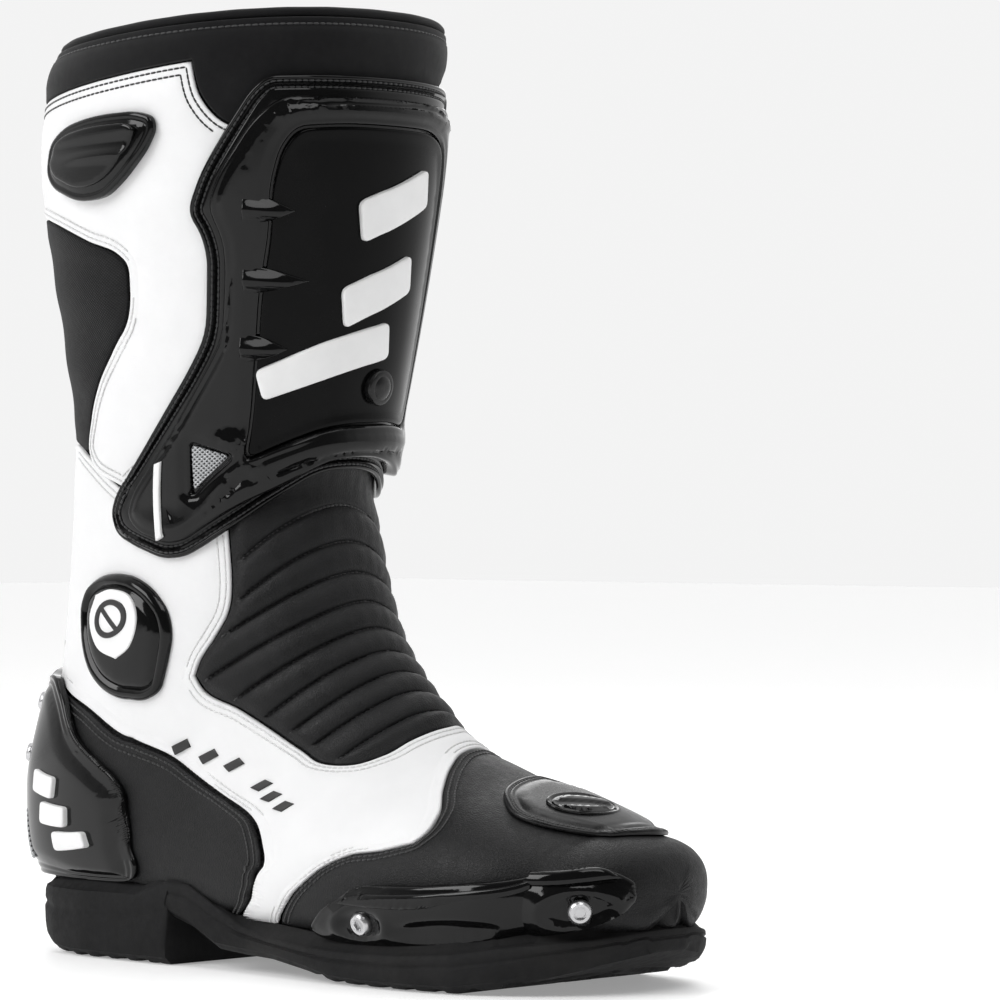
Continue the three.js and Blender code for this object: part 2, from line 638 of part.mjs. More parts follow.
// ---------------------------------------------------------------- shaft
function buildShaftPanels() {
  const calf = [
    [18.6, 209.6], [18.6, 132], [14.4, 63], [27, 59.4], [37.2, 50], [37.2, 36.8], [159.3, 36.8],
    [159.3, 86.4], [165, 92.5], [151, 113.2], [149.4, 114], [135, 110], [124, 103], [113, 94],
    [102, 87.2], [91, 85.2], [82.4, 85.4], [78.6, 88.4], [73.4, 98], [65.4, 116], [61, 135],
    [60, 160], [60, 209.6],
  ];
  add('calf_panel_white', panel(calf, ...OUTER), 'white');
  const stretch = [
    [60.7, 209.6], [60.7, 160], [61.7, 135.4], [66.2, 116.6], [74.1, 98.7], [79.2, 89.4],
    [82.8, 86.4], [91, 86.2], [102, 88.2], [113, 95], [124, 104], [135, 111], [149, 115],
    [144.9, 129.2], [144.9, 209.6],
  ];
  add('calf_stretch_panel', panel(stretch, ...OUTER), 'textile');
  add('shin_underlay', panel(box(24.2, 159.3, -35, 35), ...OUTER), 'textile');
  add('medial_shaft_front', panel(box(18.6, 159.3, -89.6, -37.8), ...OUTER), 'suede');
  add('medial_shaft_rear', panel(box(18.6, 158.9, -149.6, -104.6), ...OUTER), 'suede');
  const collar = [
    [1, -180], [1, -70], [1, 65], [1, 180], [17.8, 180], [17.8, 132], [13.7, 62.5],
    [26.3, 58.8], [36.5, 49.4], [36.5, 36], [23.5, 36], [23.5, -36], [17.8, -37.5], [17.8, -180],
  ];
  add('collar', panel(collar, OUTER[0], (s) => 2 + 1.4 * smooth(16, 9, s)), 'neoprene');
  add('collar_binding', binding(), 'leather');
}

// rolled edge on top of the collar
function binding() {
  const n = 30;
  const sides = 6;
  const points = [];
  for (let i = 0; i < n; i += 1) {
    for (let k = 0; k < sides; k += 1) {
      const a = k / sides * 2 * Math.PI;
      points.push(at(-2.4 + 2.9 * Math.cos(a), i / n * 360, -0.3 + 3.6 * Math.sin(a)));
    }
  }
  const faces = [];
  for (let i = 0; i < n; i += 1) {
    for (let k = 0; k < sides; k += 1) {
      const a = i * sides + k;
      const b = i * sides + (k + 1) % sides;
      const c = ((i + 1) % n) * sides + (k + 1) % sides;
      const d = ((i + 1) % n) * sides + k;
      faces.push([a, b, c], [a, c, d]);
    }
  }
  return geometryOf(points, faces);
}

function buildCalfGuard() {
  const rim = [
    [59, 97], [53, 109], [47, 113], [36, 112], [31, 104], [29, 92], [29.5, 79], [32, 73],
    [37, 72], [44, 75], [53, 82], [59, 89],
  ];
  const field = [
    [54, 97], [49, 106], [45, 108.5], [38, 107.5], [34.5, 101], [33, 91], [33.5, 80],
    [36, 77], [43, 79.5], [51, 86], [54, 91],
  ];
  add('calf_guard', panel(rim, OVER, (s) => 5.4 + 1.2 * smooth(30, 50, s)), 'matte');
  const facet = (s) => 8.2 - 0.8 * smooth(4, 0, Math.abs(s - 43));
  add('calf_guard_insert', panel(field, 7.0, facet), 'gloss');
}

// ---------------------------------------------------------------- shin plate
const WINDOW = [
  [39, 29], [46, 33.5], [58, 36], [74, 36], [96, 39], [118, 40], [139, 41], [156, 42.5],
  [150, 31], [144, 16], [142, 4], [141, -16], [142, -32], [137, -40], [110, -39], [80, -37],
  [55, -35], [42, -31], [38, -18], [38, 14],
];

function buildShinPlate() {
  const flange = [
    [21, 39], [26, 44], [39, 51], [53, 58], [66, 62], [74, 58], [82, 56.5], [109, 58],
    [122, 65], [144, 80], [168, 94], [174, 96], [181, 94], [186, 88], [192.5, 76], [193, 68],
    [190, 60], [182, 44], [172, 28], [162, 12], [160.5, -5], [163, -22], [171, -38], [173, -50],
    [165, -60], [144, -65], [122, -67], [109, -69], [82, -69], [66, -68], [53, -64], [39, -56],
    [26, -44], [21, -38],
  ];
  add('shin_flange', panel(flange, OVER, 4.1), 'matte');
  const shell = [
    [28, 35], [36, 43], [53, 52], [64, 55.5], [76, 51], [85, 50.5], [110, 52], [123, 59],
    [146, 72.5], [168, 86], [176, 88], [182, 84], [187.5, 73], [187, 66], [176, 45],
    [167, 28], [156, 12], [154, -5], [157, -22], [163, -36], [160, -46], [140, -50],
    [110, -50], [76, -49], [55, -46], [36, -41], [28, -34],
  ];
  const mesh = [[149, 63], [154, 48.5], [168, 61]];
  const raise = (s, th) => 7.3 + 1.6 * smooth(60, 25, Math.abs(th)) * smooth(24, 60, s);
  const cut = WINDOW.map(([s, th]) => [
    s + (s > 100 ? 0.8 : -0.8), th + 0.9 * Math.sign(th),
  ]);
  const grille = [[148, 63.5], [153.6, 46.8], [170, 61.8]];
  add('shin_shell', panel(shell, 4.8, raise, { holes: [cut, grille] }), 'matte');
  add('shin_window', panel(WINDOW, 4.8, 6.5), 'gloss');
  add('shin_grille', panel(mesh, 4.8, 6.8), 'mesh');
  add('shin_stripe', panel(
    [[155, 73.5], [185, 73.3], [186, 75.6], [156, 75.9]],
    8.1,
    8.8,
  ), 'badge');
  [0, 1].forEach((i) => {
    const s = 50 + i * 30;
    const th = 5 + i * 4;
    const bar = [[s, th - 22], [s + 13, th - 24], [s + 27, th + 2], [s + 13, th + 4]];
    add(`shin_badge_${i + 1}`, panel(bar, 7.1, 8.2), 'badge');
  });
  const cap = [[6.2, 7.2], [6.2, 8.6], [5, 9.9], [2.6, 10.7]];
  add('shin_rivet', turned(128, -6, cap, 20), 'matte');
  [50, 70, 90].forEach((s, i) => {
    const tile = [[s, -53], [s + 1, -64.5], [s + 15, -65.5], [s + 15.5, -54]];
    add(`vent_mesh_${i + 1}`, panel(tile, 4.7, 5.5), 'mesh');
  });
}

// ---------------------------------------------------------------- zip and storm flap
function buildZip() {
  const half = 0.55;
  add('zip_tape_front', panel(box(18.6, 159.3, ZIP + half, ZIP + 6.7), 0.6, 1.4), 'textile');
  add('zip_tape_rear', panel(box(18.6, 159.3, ZIP - 6.7, ZIP - half), 0.6, 1.4), 'textile');
  const teeth = box(19.5, 158, ZIP - 2.4, ZIP + 2.4);
  add('zip_teeth', panel(teeth, 1.8, 3.3), 'zip');
  const ridge = (s, th) => 1.6 + 1.5 * smooth(3.4, 2, Math.abs(th - ZIP)) * smooth(164, 168, s);
  const vs = [-6, -3.2, -2, 2, 3.2, 6].map((d) => ZIP + d + 0.07);
  add('zip_lower', panel(box(160, ZIP_END, ZIP - 6.9, ZIP + 6.9), 0.6, ridge, { vs }), 'zip');
}

function straightBar(s0, s1, halfAt, w0, w1) {
  const start = at(s0, ZIP, 0);
  const end = at(s1, ZIP, 0);
  const along = end.clone().sub(start).normalize();
  const out = lastNormal((s0 + s1) / 2, ZIP);
  out.addScaledVector(along, -out.dot(along)).normalize();
  const side = out.clone().cross(along);
  const length = start.distanceTo(end);
  return wrapSolid(
    halfAt.flatMap(([u, h]) => [[u * length, h]])
      .concat(halfAt.map(([u, h]) => [u * length, -h]).reverse()),
    (u, v) => start.clone().addScaledVector(along, u).addScaledVector(side, v)
      .addScaledVector(out, w0),
    (u, v) => start.clone().addScaledVector(along, u).addScaledVector(side, v)
      .addScaledVector(out, w1),
    { us: [], vs: [] },
  );
}

function buildSliderAndFlap() {
  add('zip_slider', straightBar(22, 34, [[0, 3.2], [0.35, 4.4], [1, 2.6]], 4.3, 5.7), 'zip');
  add('zip_puller', straightBar(30, 56, [[0, 2], [0.3, 2.8], [1, 3.4]], 6.1, 7.0), 'zip');
  const flap = [
    [17, ZIP - 20], [17, ZIP + 17], [130, ZIP + 17], [134, ZIP + 12], [134, ZIP - 15],
    [130, ZIP - 20],
  ];
  add('storm_flap', panel(flap, 8.4, 9.8), 'suede');
  add('hook_strip', panel(box(24, 124, ZIP - 18, ZIP - 11), 2.4, 4.2), 'textile');
  add('loop_strip', panel(box(24, 124, ZIP - 18, ZIP - 11), 4.8, 7.8), 'textile');
}

buildSole();
buildLining();
buildVamp();
buildQuarter();
buildBellows();
buildHeel();
buildSlider();
buildAnkleGuard();
buildShaftPanels();
buildCalfGuard();
buildShinPlate();
buildZip();
buildSliderAndFlap();

// the frame's origin is the middle of the footprint
const size = new THREE.Box3().setFromObject(boot);
const middle = size.getCenter(new THREE.Vector3());
for (const mesh of boot.children) mesh.geometry.translate(-middle.x, -middle.y, -size.min.z);

export default boot;
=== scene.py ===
"""Road-racing motorcycle boot for the right foot: leathers, moulded plates, seams and sole.

Places on the boot are chart places: s runs in mm from the rim (0) down the shaft and
along the foot to the nose (450), th is the angle round it in degrees (0 on the ridge,
90 on the outer side, 180 on the back and the sole), and w is the height over the last.
"""
import json
import math
import bpy
import numpy as np
from mathutils import Matrix, Vector, geometry
from mathutils.bvhtree import BVHTree


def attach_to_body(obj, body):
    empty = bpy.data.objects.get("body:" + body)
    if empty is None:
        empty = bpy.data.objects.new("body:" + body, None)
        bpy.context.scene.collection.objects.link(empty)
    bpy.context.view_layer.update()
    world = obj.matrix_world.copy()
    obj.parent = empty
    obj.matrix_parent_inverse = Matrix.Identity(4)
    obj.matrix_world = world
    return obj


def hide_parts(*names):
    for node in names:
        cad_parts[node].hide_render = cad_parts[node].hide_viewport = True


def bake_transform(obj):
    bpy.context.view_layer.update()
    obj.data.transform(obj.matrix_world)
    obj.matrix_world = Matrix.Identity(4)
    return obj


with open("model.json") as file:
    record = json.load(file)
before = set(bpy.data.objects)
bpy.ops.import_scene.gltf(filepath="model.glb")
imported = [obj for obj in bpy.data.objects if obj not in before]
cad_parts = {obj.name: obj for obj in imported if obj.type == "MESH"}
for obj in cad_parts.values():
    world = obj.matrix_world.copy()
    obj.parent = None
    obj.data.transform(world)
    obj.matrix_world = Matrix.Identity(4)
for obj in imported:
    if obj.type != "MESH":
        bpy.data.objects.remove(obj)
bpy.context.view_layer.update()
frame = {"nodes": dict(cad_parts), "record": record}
record = frame["record"]
BODY_OF = {n: b for b, ns in record["behaviour"]["bodies"].items() for n in ns}

MM = 0.001
SHIFT = np.array([-2.065, -0.184, 0.0])  # the last's origin in the row frame
TOE_S, TIP_S = 420.0, 450.0
TIP = (148.0, 7.0, 33.0)
NOSE = 0.6                               # bluntness of the nose in side view
ZIP = -97.0                              # angle of the zip's line
ZIP_END = 264.0                          # station where the zip ends
SEAT = 2.2                               # height at which the sole meets the last
LINING = (-4.6, -2.3)                    # heights of the lining's two faces
UPPER = 0.6                              # underside of the outer layer
PLATE = 2.9                              # underside of the plates on it
LEATHER_ROLL = 0.9                       # radius of a leather panel's rolled edge
CHANNEL_WIDTH, CHANNEL_DEPTH = 0.55, 0.22  # the channel a row of stitches sits in
PILLOW = 0.35                            # puff of the leather inside its stitches
ACHILLES_START, ACHILLES_PITCH = 148.13, 12
CAMERA_AZIMUTH = math.radians(43)
CAMERA_DISTANCE, CAMERA_HEIGHT, CAMERA_ASIDE = 1.7, 0.164, 0.055
SENSOR_WIDTH, LENS = 36.0, 173.2
BACKDROP, DARK_SIDE = 0.90, 0.13          # world strength behind the boot and before it
FLOOR_GLOW = (0.28, 0.40)                 # near the boot and far from it
FLOOR_HALF, FLOOR_DROP = 6.0, 0.0002
BENDS = {"quarter_white", "medial_quarter_front", "medial_quarter_rear", "accordion_front",
         "achilles_accordion", "zip_lower"}

# station, ridge x z, back x z, depth of the widest line, half widths lateral and
# medial, squareness front and back, sideways shift
LAST = np.array([
    [-15, 17, 347, -107, 338, 0.50, 60, 65, 2.2, 2.2, 0],
    [0, 18, 333, -113, 322, 0.50, 62, 64.5, 2.2, 2.2, 0],
    [20, 18.5, 313, -121, 303, 0.50, 64.5, 63, 2.2, 2.2, 0],
    [60, 14, 272, -123, 266, 0.50, 62, 58, 2.2, 2.2, 0],
    [100, 8, 232, -119, 228, 0.50, 55, 52.5, 2.2, 2.2, 0],
    [140, 1, 194, -115.5, 188, 0.50, 48, 47, 2.2, 2.2, 0],
    [170, -4, 168, -117.5, 160, 0.50, 45, 42.5, 2.2, 2.2, 0],
    [195, 0, 147, -121.5, 130, 0.50, 44, 41, 2.2, 2.2, 0],
    [225, 12, 120, -127.5, 96, 0.48, 43, 40, 2.1, 2.3, 0],
    [255, 26, 103, -139, 56, 0.45, 41, 39, 2.1, 2.5, 0],
    [285, 42, 89, -128, 24, 0.42, 40, 38, 2.1, 2.8, 0],
    [315, 60, 77, -72, 18, 0.39, 42, 41, 2.1, 3.1, 0],
    [345, 79, 68, 0, 14, 0.37, 47, 45, 2.2, 3.4, 0],
    [375, 98, 61, 60, 13, 0.37, 50, 46, 2.3, 3.6, 1],
    [400, 115, 55, 98, 16, 0.36, 47, 41, 2.3, 3.4, 3],
    [420, 127, 50, 118, 21, 0.37, 39, 33, 2.3, 3.0, 5],
], float)
_before, _after = np.vstack([LAST[:1], LAST[:-1]]), np.vstack([LAST[1:], LAST[-1:]])
SLOPES = (_after - _before) / (_after[:, :1] - _before[:, :1])


# ---------------------------------------------------------------- the last
def smooth(a, b, x):
    """Smooth step from 0 at a to 1 at b; a may be the larger one."""
    t = np.clip((np.asarray(x, float) - a) / (b - a), 0, 1)
    return t * t * (3 - 2 * t)


def section(s):
    """Rows of LAST at any station, on cubics through the given ones."""
    at = np.clip(s, LAST[0, 0], TOE_S)
    i = np.clip(np.searchsorted(LAST[:, 0], at, side="right") - 1, 0, len(LAST) - 2)
    h = LAST[i + 1, 0] - LAST[i, 0]
    u = (at - LAST[i, 0]) / h
    c0 = (2 * u ** 3 - 3 * u ** 2 + 1)[:, None]
    t0 = ((u ** 3 - 2 * u ** 2 + u) * h)[:, None]
    t1 = ((u ** 3 - u ** 2) * h)[:, None]
    return c0 * LAST[i] + (1 - c0) * LAST[i + 1] + t0 * SLOPES[i] + t1 * SLOPES[i + 1]


def last_point(s, th):
    """Points on the last in its own mm; the nose closes on TIP."""
    s, th = np.broadcast_arrays(np.asarray(s, float), np.asarray(th, float))
    _, xr, zr, xb, zb, depth, wl, wm, nf, nb, shift = section(s).T
    close = np.pi / 2 * np.clip((s - TOE_S) / (TIP_S - TOE_S), 0, 1)
    sn, cs = np.sin(close), np.cos(close)
    x_ridge, x_back = xr + (TIP[0] - xr) * sn, xb + (TIP[0] - xb) * sn
    blunt = np.maximum(cs, 0) ** NOSE
    z_ridge, z_back = TIP[2] + (zr - TIP[2]) * blunt, TIP[2] + (zb - TIP[2]) * blunt
    c, d = np.cos(np.radians(th)), np.sin(np.radians(th))
    n = np.where(c >= 0, nf, nb)
    along, across = np.abs(c) ** (2 / n), np.abs(d) ** (2 / n)
    x_mid = x_back + depth * (x_ridge - x_back)
    z_mid = z_back + depth * (z_ridge - z_back)
    x_end, z_end = np.where(c >= 0, x_ridge, x_back), np.where(c >= 0, z_ridge, z_back)
    y = shift + (TIP[1] - shift) * sn + np.where(d >= 0, -across * wl, across * wm) * cs
    return np.stack([x_mid + along * (x_end - x_mid), y, z_mid + along * (z_end - z_mid)], 1)


def last_normal(s, th):
    """Unit normals, outwards."""
    s, th = np.broadcast_arrays(np.asarray(s, float), np.asarray(th, float))
    ds = last_point(s + 0.4, th) - last_point(s - 0.4, th)
    dth = last_point(s, th + 0.5) - last_point(s, th - 0.5)
    n = np.cross(dth, ds)
    n[s > TIP_S - 0.5] = (1, 0, 0)
    return n / np.maximum(np.linalg.norm(n, axis=1, keepdims=True), 1e-9)


def skin(s, th, w):
    """Points in metres, in the row frame."""
    w = np.broadcast_to(np.asarray(w, float), np.shape(s))
    return (last_point(s, th) + last_normal(s, th) * w[:, None] + SHIFT) * MM


def scales(s, th):
    """Millimetres on the last for one station and for one degree."""
    ks = np.linalg.norm(last_point(s + 0.5, th) - last_point(s - 0.5, th), axis=1)
    kt = np.linalg.norm(last_point(s, th + 0.5) - last_point(s, th - 0.5), axis=1)
    return np.maximum(ks, 0.3), np.maximum(kt, 0.12)


# ---------------------------------------------------------------- outlines
def dense(outline, step=1.6, corner=48.0):
    """A closed outline with curves through its gentle points and its sharp corners kept."""
    p = np.array(outline, float)
    ks, kt = scales(p[:, 0], p[:, 1])
    k = np.stack([ks, kt], 1)
    before, after = np.roll(p, 1, 0), np.roll(p, -1, 0)
    a, b = (p - before) * k, (after - p) * k
    turn = np.degrees(np.abs(np.arctan2(a[:, 0] * b[:, 1] - a[:, 1] * b[:, 0], (a * b).sum(1))))
    la, lb = np.linalg.norm(a, axis=1), np.linalg.norm(b, axis=1)
    tangent = (p - before) / la[:, None] ** 2 + (after - p) / lb[:, None] ** 2
    tangent *= (la * lb / (la + lb))[:, None]
    sharp = turn >= corner
    out = []
    for i in range(len(p)):
        j = (i + 1) % len(p)
        length = lb[i]
        n = max(int(round(length / step)), 1)
        u = (np.arange(n) / n)[:, None]
        chord = p[j] - p[i]
        ti = chord if sharp[i] else tangent[i] * length
        tj = chord if sharp[j] else tangent[j] * length
        out.append((2 * u ** 3 - 3 * u ** 2 + 1) * p[i] + (3 * u ** 2 - 2 * u ** 3) * p[j]
                   + (u ** 3 - 2 * u ** 2 + u) * ti + (u ** 3 - u ** 2) * tj)
    return anticlockwise(np.vstack(out))


def anticlockwise(line):
    area = np.sum(line[:, 0] * np.roll(line[:, 1], -1) - line[:, 1] * np.roll(line[:, 0], -1))
    return line if area > 0 else line[::-1]


def divided(line, parts):
    """A closed line with each side cut into equal lengths; parts gives how many."""
    out = []
    for a, b in zip(line, np.roll(line, -1, 0)):
        n = parts(a, b)
        out += [a + (b - a) * i / n for i in range(n)]
    return np.array(out)


def relaxed(line, times):
    for _ in range(times):
        line = 0.5 * line + 0.25 * (np.roll(line, 1, 0) + np.roll(line, -1, 0))
    return line


def triangle_edges(tris):
    return np.vstack([tris[:, [0, 1]], tris[:, [1, 2]], tris[:, [2, 0]]])


def inside(points, line):
    """True for each point that lies within the closed line."""
    x, y = points[:, :1], points[:, 1:]
    ax, ay = line[:, 0], line[:, 1]
    bx, by = np.roll(ax, -1), np.roll(ay, -1)
    spans = (ay > y) != (by > y)
    cross = ax + (y - ay) * (bx - ax) / np.where(by == ay, 1e-9, by - ay)
    return np.sum(spans & (x < cross), axis=1) % 2 == 1


def reach(points, lines, flat=False):
    """Distance in mm from each point to the nearest of the closed lines."""
    k = np.ones_like(points) if flat else np.stack(scales(points[:, 0], points[:, 1]), 1)
    best = np.full(len(points), 1e9)
    for line in lines:
        nxt = np.roll(line, -1, 0)
        for part in range(0, len(points), 1500):
            sl = slice(part, part + 1500)
            a = (line[None] - points[sl, None]) * k[sl, None]
            b = (nxt[None] - points[sl, None]) * k[sl, None]
            ab = b - a
            t = np.clip(-(a * ab).sum(2) / np.maximum((ab * ab).sum(2), 1e-9), 0, 1)
            d = np.linalg.norm(a + t[..., None] * ab, axis=2).min(1)
            best[sl] = np.minimum(best[sl], d)
    return best


def offset_line(line, distance, flat=False):
    """The line moved inwards, without the points that cross another stretch."""
    k = np.ones_like(line) if flat else np.stack(scales(line[:, 0], line[:, 1]), 1)
    t = (np.roll(line, -1, 0) - np.roll(line, 1, 0)) * k
    n = np.stack([-t[:, 1], t[:, 0]], 1)
    n /= np.maximum(np.linalg.norm(n, axis=1, keepdims=True), 1e-9)
    moved = line + n * distance / k
    good = inside(moved, line) & (reach(moved, [line], flat) > abs(distance) * 0.86)
    return moved, good


# ---------------------------------------------------------------- meshes
def mesh_object(name, points, faces, material, smooth_angle=50):
    mesh = bpy.data.meshes.new(name)
    mesh.from_pydata([tuple(p) for p in np.asarray(points, float)], [],
                     [tuple(map(int, f)) for f in faces])
    mesh.validate()
    mesh.polygons.foreach_set("use_smooth", [True] * len(mesh.polygons))
    mesh.set_sharp_from_angle(angle=math.radians(smooth_angle))
    mesh.materials.append(material)
    obj = bpy.data.objects.new(name, mesh)
    bpy.context.scene.collection.objects.link(obj)
    return obj


def outward(points, faces):
    """The faces, turned round if they enclose a negative volume."""
    p, f = np.asarray(points), np.asarray(faces)
    tri = f[:, :3]
    volume = np.einsum("ij,ij->i", p[tri[:, 0]], np.cross(p[tri[:, 1]], p[tri[:, 2]])).sum()
    return f if volume > 0 else f[:, ::-1]


def attach(obj, *nodes, body=None):
    """Puts a finished piece on its body, in place of the nodes it stands for."""
    if nodes and nodes[0] in BENDS or body == "bend":
        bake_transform(obj)
    else:
        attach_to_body(obj, body or BODY_OF[nodes[0]])
    if nodes:
        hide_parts(*nodes)
    return obj


class Patch:
    """A piece laid on the last over a chart outline, with rolled edges."""

    def __init__(self, outline, low, high, roll=1.0, holes=(), rings=(), step=2.8, extra=None,
                 corner=48.0, relief=None, soften=0):
        self.line = dense(outline, min(1.6, step), corner)
        self.holes = [dense(h, min(1.6, step), corner)[::-1] for h in holes]
        self.low, self.high, self.roll, self.relief = low, high, roll, relief
        self.soften = soften
        rings = (sorted(set([roll * 0.12, roll * 0.45, roll] + list(rings))) if roll
                 else list(rings))
        line = self.line
        mid = line.mean(0)[None]
        span = np.linspace(0, 1, 7)
        low_c, high_c = line.min(0), line.max(0)
        probe = low_c + span[:, None] * (high_c - low_c)
        ks, kt = scales(probe[:, 0], np.full(7, mid[0, 1]))
        self.k = np.array([ks.mean(), kt.mean()])
        free, exact = [], []
        for edge in [self.line] + self.holes:
            for r in rings:
                moved, good = offset_line(edge, r) if edge is self.line else self.outset(edge, r)
                if edge is self.line and self.holes:
                    good &= reach(moved, self.holes) > r
                free.append(moved[good])
                exact.append(np.full(int(good.sum()), r))
        margin = (rings[-1] if rings else 0) + 0.55 * step
        us = np.arange(low_c[0], high_c[0], step / self.k[0])
        vs = np.arange(low_c[1], high_c[1], step / self.k[1])
        grid = np.array([(u, v + (i % 2) * 0.5 * step / self.k[1])
                         for i, u in enumerate(us) for v in vs])
        if extra is not None:
            grid = np.asarray(extra, float)
            margin = (rings[-1] if rings else 0) + 0.3
        if len(grid):
            grid = grid[inside(grid, line)]
        if len(grid):
            grid = grid[reach(grid, [line] + self.holes) > margin]
        free.append(grid.reshape(-1, 2))
        exact.append(np.full(len(free[-1]), -1.0))
        free, exact = np.vstack(free), np.concatenate(exact)
        for hole in self.holes:
            clear = ~inside(free, hole)
            free, exact = free[clear], exact[clear]
        chains = [self.line] + self.holes
        points = np.vstack(chains + [free])
        edges, start = [], 0
        for chain in chains:
            n = len(chain)
            edges += [(start + i, start + (i + 1) % n) for i in range(n)]
            start += n
        scaled = points * self.k
        out = geometry.delaunay_2d_cdt([Vector(p) for p in scaled], edges, [], 0, 1e-4)
        self.uv = np.array([tuple(p) for p in out[0]]) / self.k
        tris = np.array([f for f in out[2] if len(f) == 3])
        centre = self.uv[tris].mean(1)
        keep = inside(centre, self.line)
        for hole in self.holes:
            keep &= ~inside(centre, hole)
        a, b, c = (self.uv[tris[:, i]] for i in range(3))
        size = np.abs((b - a)[:, 0] * (c - a)[:, 1] - (b - a)[:, 1] * (c - a)[:, 0])
        self.tris = tris[keep & (size > 1e-7)]
        self.edge = reach(self.uv, [self.line] + self.holes)
        given = np.concatenate([np.zeros(sum(len(c) for c in chains)), exact])
        for i, origin in enumerate(out[3]):
            if len(origin) and given[origin[0]] >= 0:
                self.edge[i] = given[origin[0]]
        if line[:, 0].max() > TIP_S - 1:
            self.edge = np.maximum(self.edge, 30 * smooth(394, 400, self.uv[:, 0]))

    @staticmethod
    def outset(hole, r):
        moved, good = offset_line(hole[::-1], -r)
        return moved, reach(moved, [hole]) > abs(r) * 0.93

    def height(self, s, th, d=None):
        s, th = np.asarray(s, float), np.asarray(th, float)
        if d is None:
            d = reach(np.stack([s, th], 1), [self.line] + self.holes)
        w = self.high(s, th) if callable(self.high) else np.full(len(s), float(self.high))
        if self.relief is not None:
            w = w + self.relief(s, th, d)
        if self.roll:
            q = np.clip(1 - d / self.roll, 0, 1)
            w = w - self.roll * (1 - np.sqrt(np.maximum(1 - q * q, 0)))
        return w

    def build(self, name, material, smooth_angle=50):
        s, th = self.uv[:, 0], self.uv[:, 1]
        bottom = self.low(s, th) if callable(self.low) else np.full(len(s), float(self.low))
        top = np.maximum(self.height(s, th, self.edge), bottom + 0.05)
        n = len(s)
        pairs = triangle_edges(self.tris)
        for _ in range(self.soften):
            total, count = np.zeros(n), np.zeros(n)
            for i, j in ((0, 1), (1, 0)):
                np.add.at(total, pairs[:, i], top[pairs[:, j]])
                np.add.at(count, pairs[:, i], 1)
            inner = self.edge > 0.5 * self.roll
            top = np.where(inner, 0.5 * top + 0.5 * total / np.maximum(count, 1), top)
        points = np.vstack([skin(s, th, bottom), skin(s, th, top)])
        tris = self.tris
        seen = {(a, b) for a, b in pairs.tolist()}
        open_edges = np.array([e for e in pairs.tolist() if (e[1], e[0]) not in seen])
        a, b = open_edges[:, 0], open_edges[:, 1]
        faces = np.vstack([
            tris + n, tris[:, ::-1],
            np.stack([b + n, a + n, a], 1), np.stack([b + n, a, b], 1),
        ])
        faces = outward(points, faces)
        obj = mesh_object(name, points, faces, material, smooth_angle)
        mesh = obj.data
        layer = mesh.uv_layers.new(name="chart")
        chart = np.vstack([self.uv, self.uv]) * self.k * MM
        loops = np.zeros(len(mesh.loops), int)
        mesh.loops.foreach_get("vertex_index", loops)
        layer.data.foreach_set("uv", chart[loops][:, ::-1].astype(np.float32).ravel())
        rim = mesh.attributes.new("rim", "FLOAT", "POINT")
        near = np.clip(self.edge / 10, 0, 1).astype(np.float32)
        rim.data.foreach_set("value", np.concatenate([near, near]))
        return obj

    def seam(self, inset, keep=lambda s, th: s > -99):
        """Runs of chart points along the outline, moved inwards."""
        moved, good = offset_line(self.line, inset)
        good &= keep(moved[:, 0], moved[:, 1])
        return runs(moved, good)


def runs(points, good, closed=True):
    """The unbroken stretches of good points, as separate lines."""
    out, current = [], []
    order = list(range(len(points)))
    if closed and not good.all():
        start = int(np.argmin(good))
        order = order[start:] + order[:start]
    for i in order:
        if good[i]:
            current.append(points[i])
        elif current:
            out.append(np.array(current))
            current = []
    if current:
        if closed and good.all():
            current.append(points[order[0]])
        out.append(np.array(current))
    return [r for r in out if len(r) > 2]


def resample(points, pitch):
    """Points spaced evenly along an open line."""
    steps = np.linalg.norm(np.diff(points, axis=0), axis=1)
    total = np.concatenate([[0], np.cumsum(steps)])
    n = max(int(total[-1] / pitch), 1)
    at = (np.arange(n) + 0.5) / n * total[-1]
    return np.stack([np.interp(at, total, points[:, i]) for i in range(points.shape[1])], 1)


THREAD_X = np.array([-0.5, -0.46, -0.3, 0.0, 0.3, 0.46, 0.5])
THREAD_R = np.array([0.0, 0.55, 0.95, 1.0, 0.95, 0.55, 0.0])


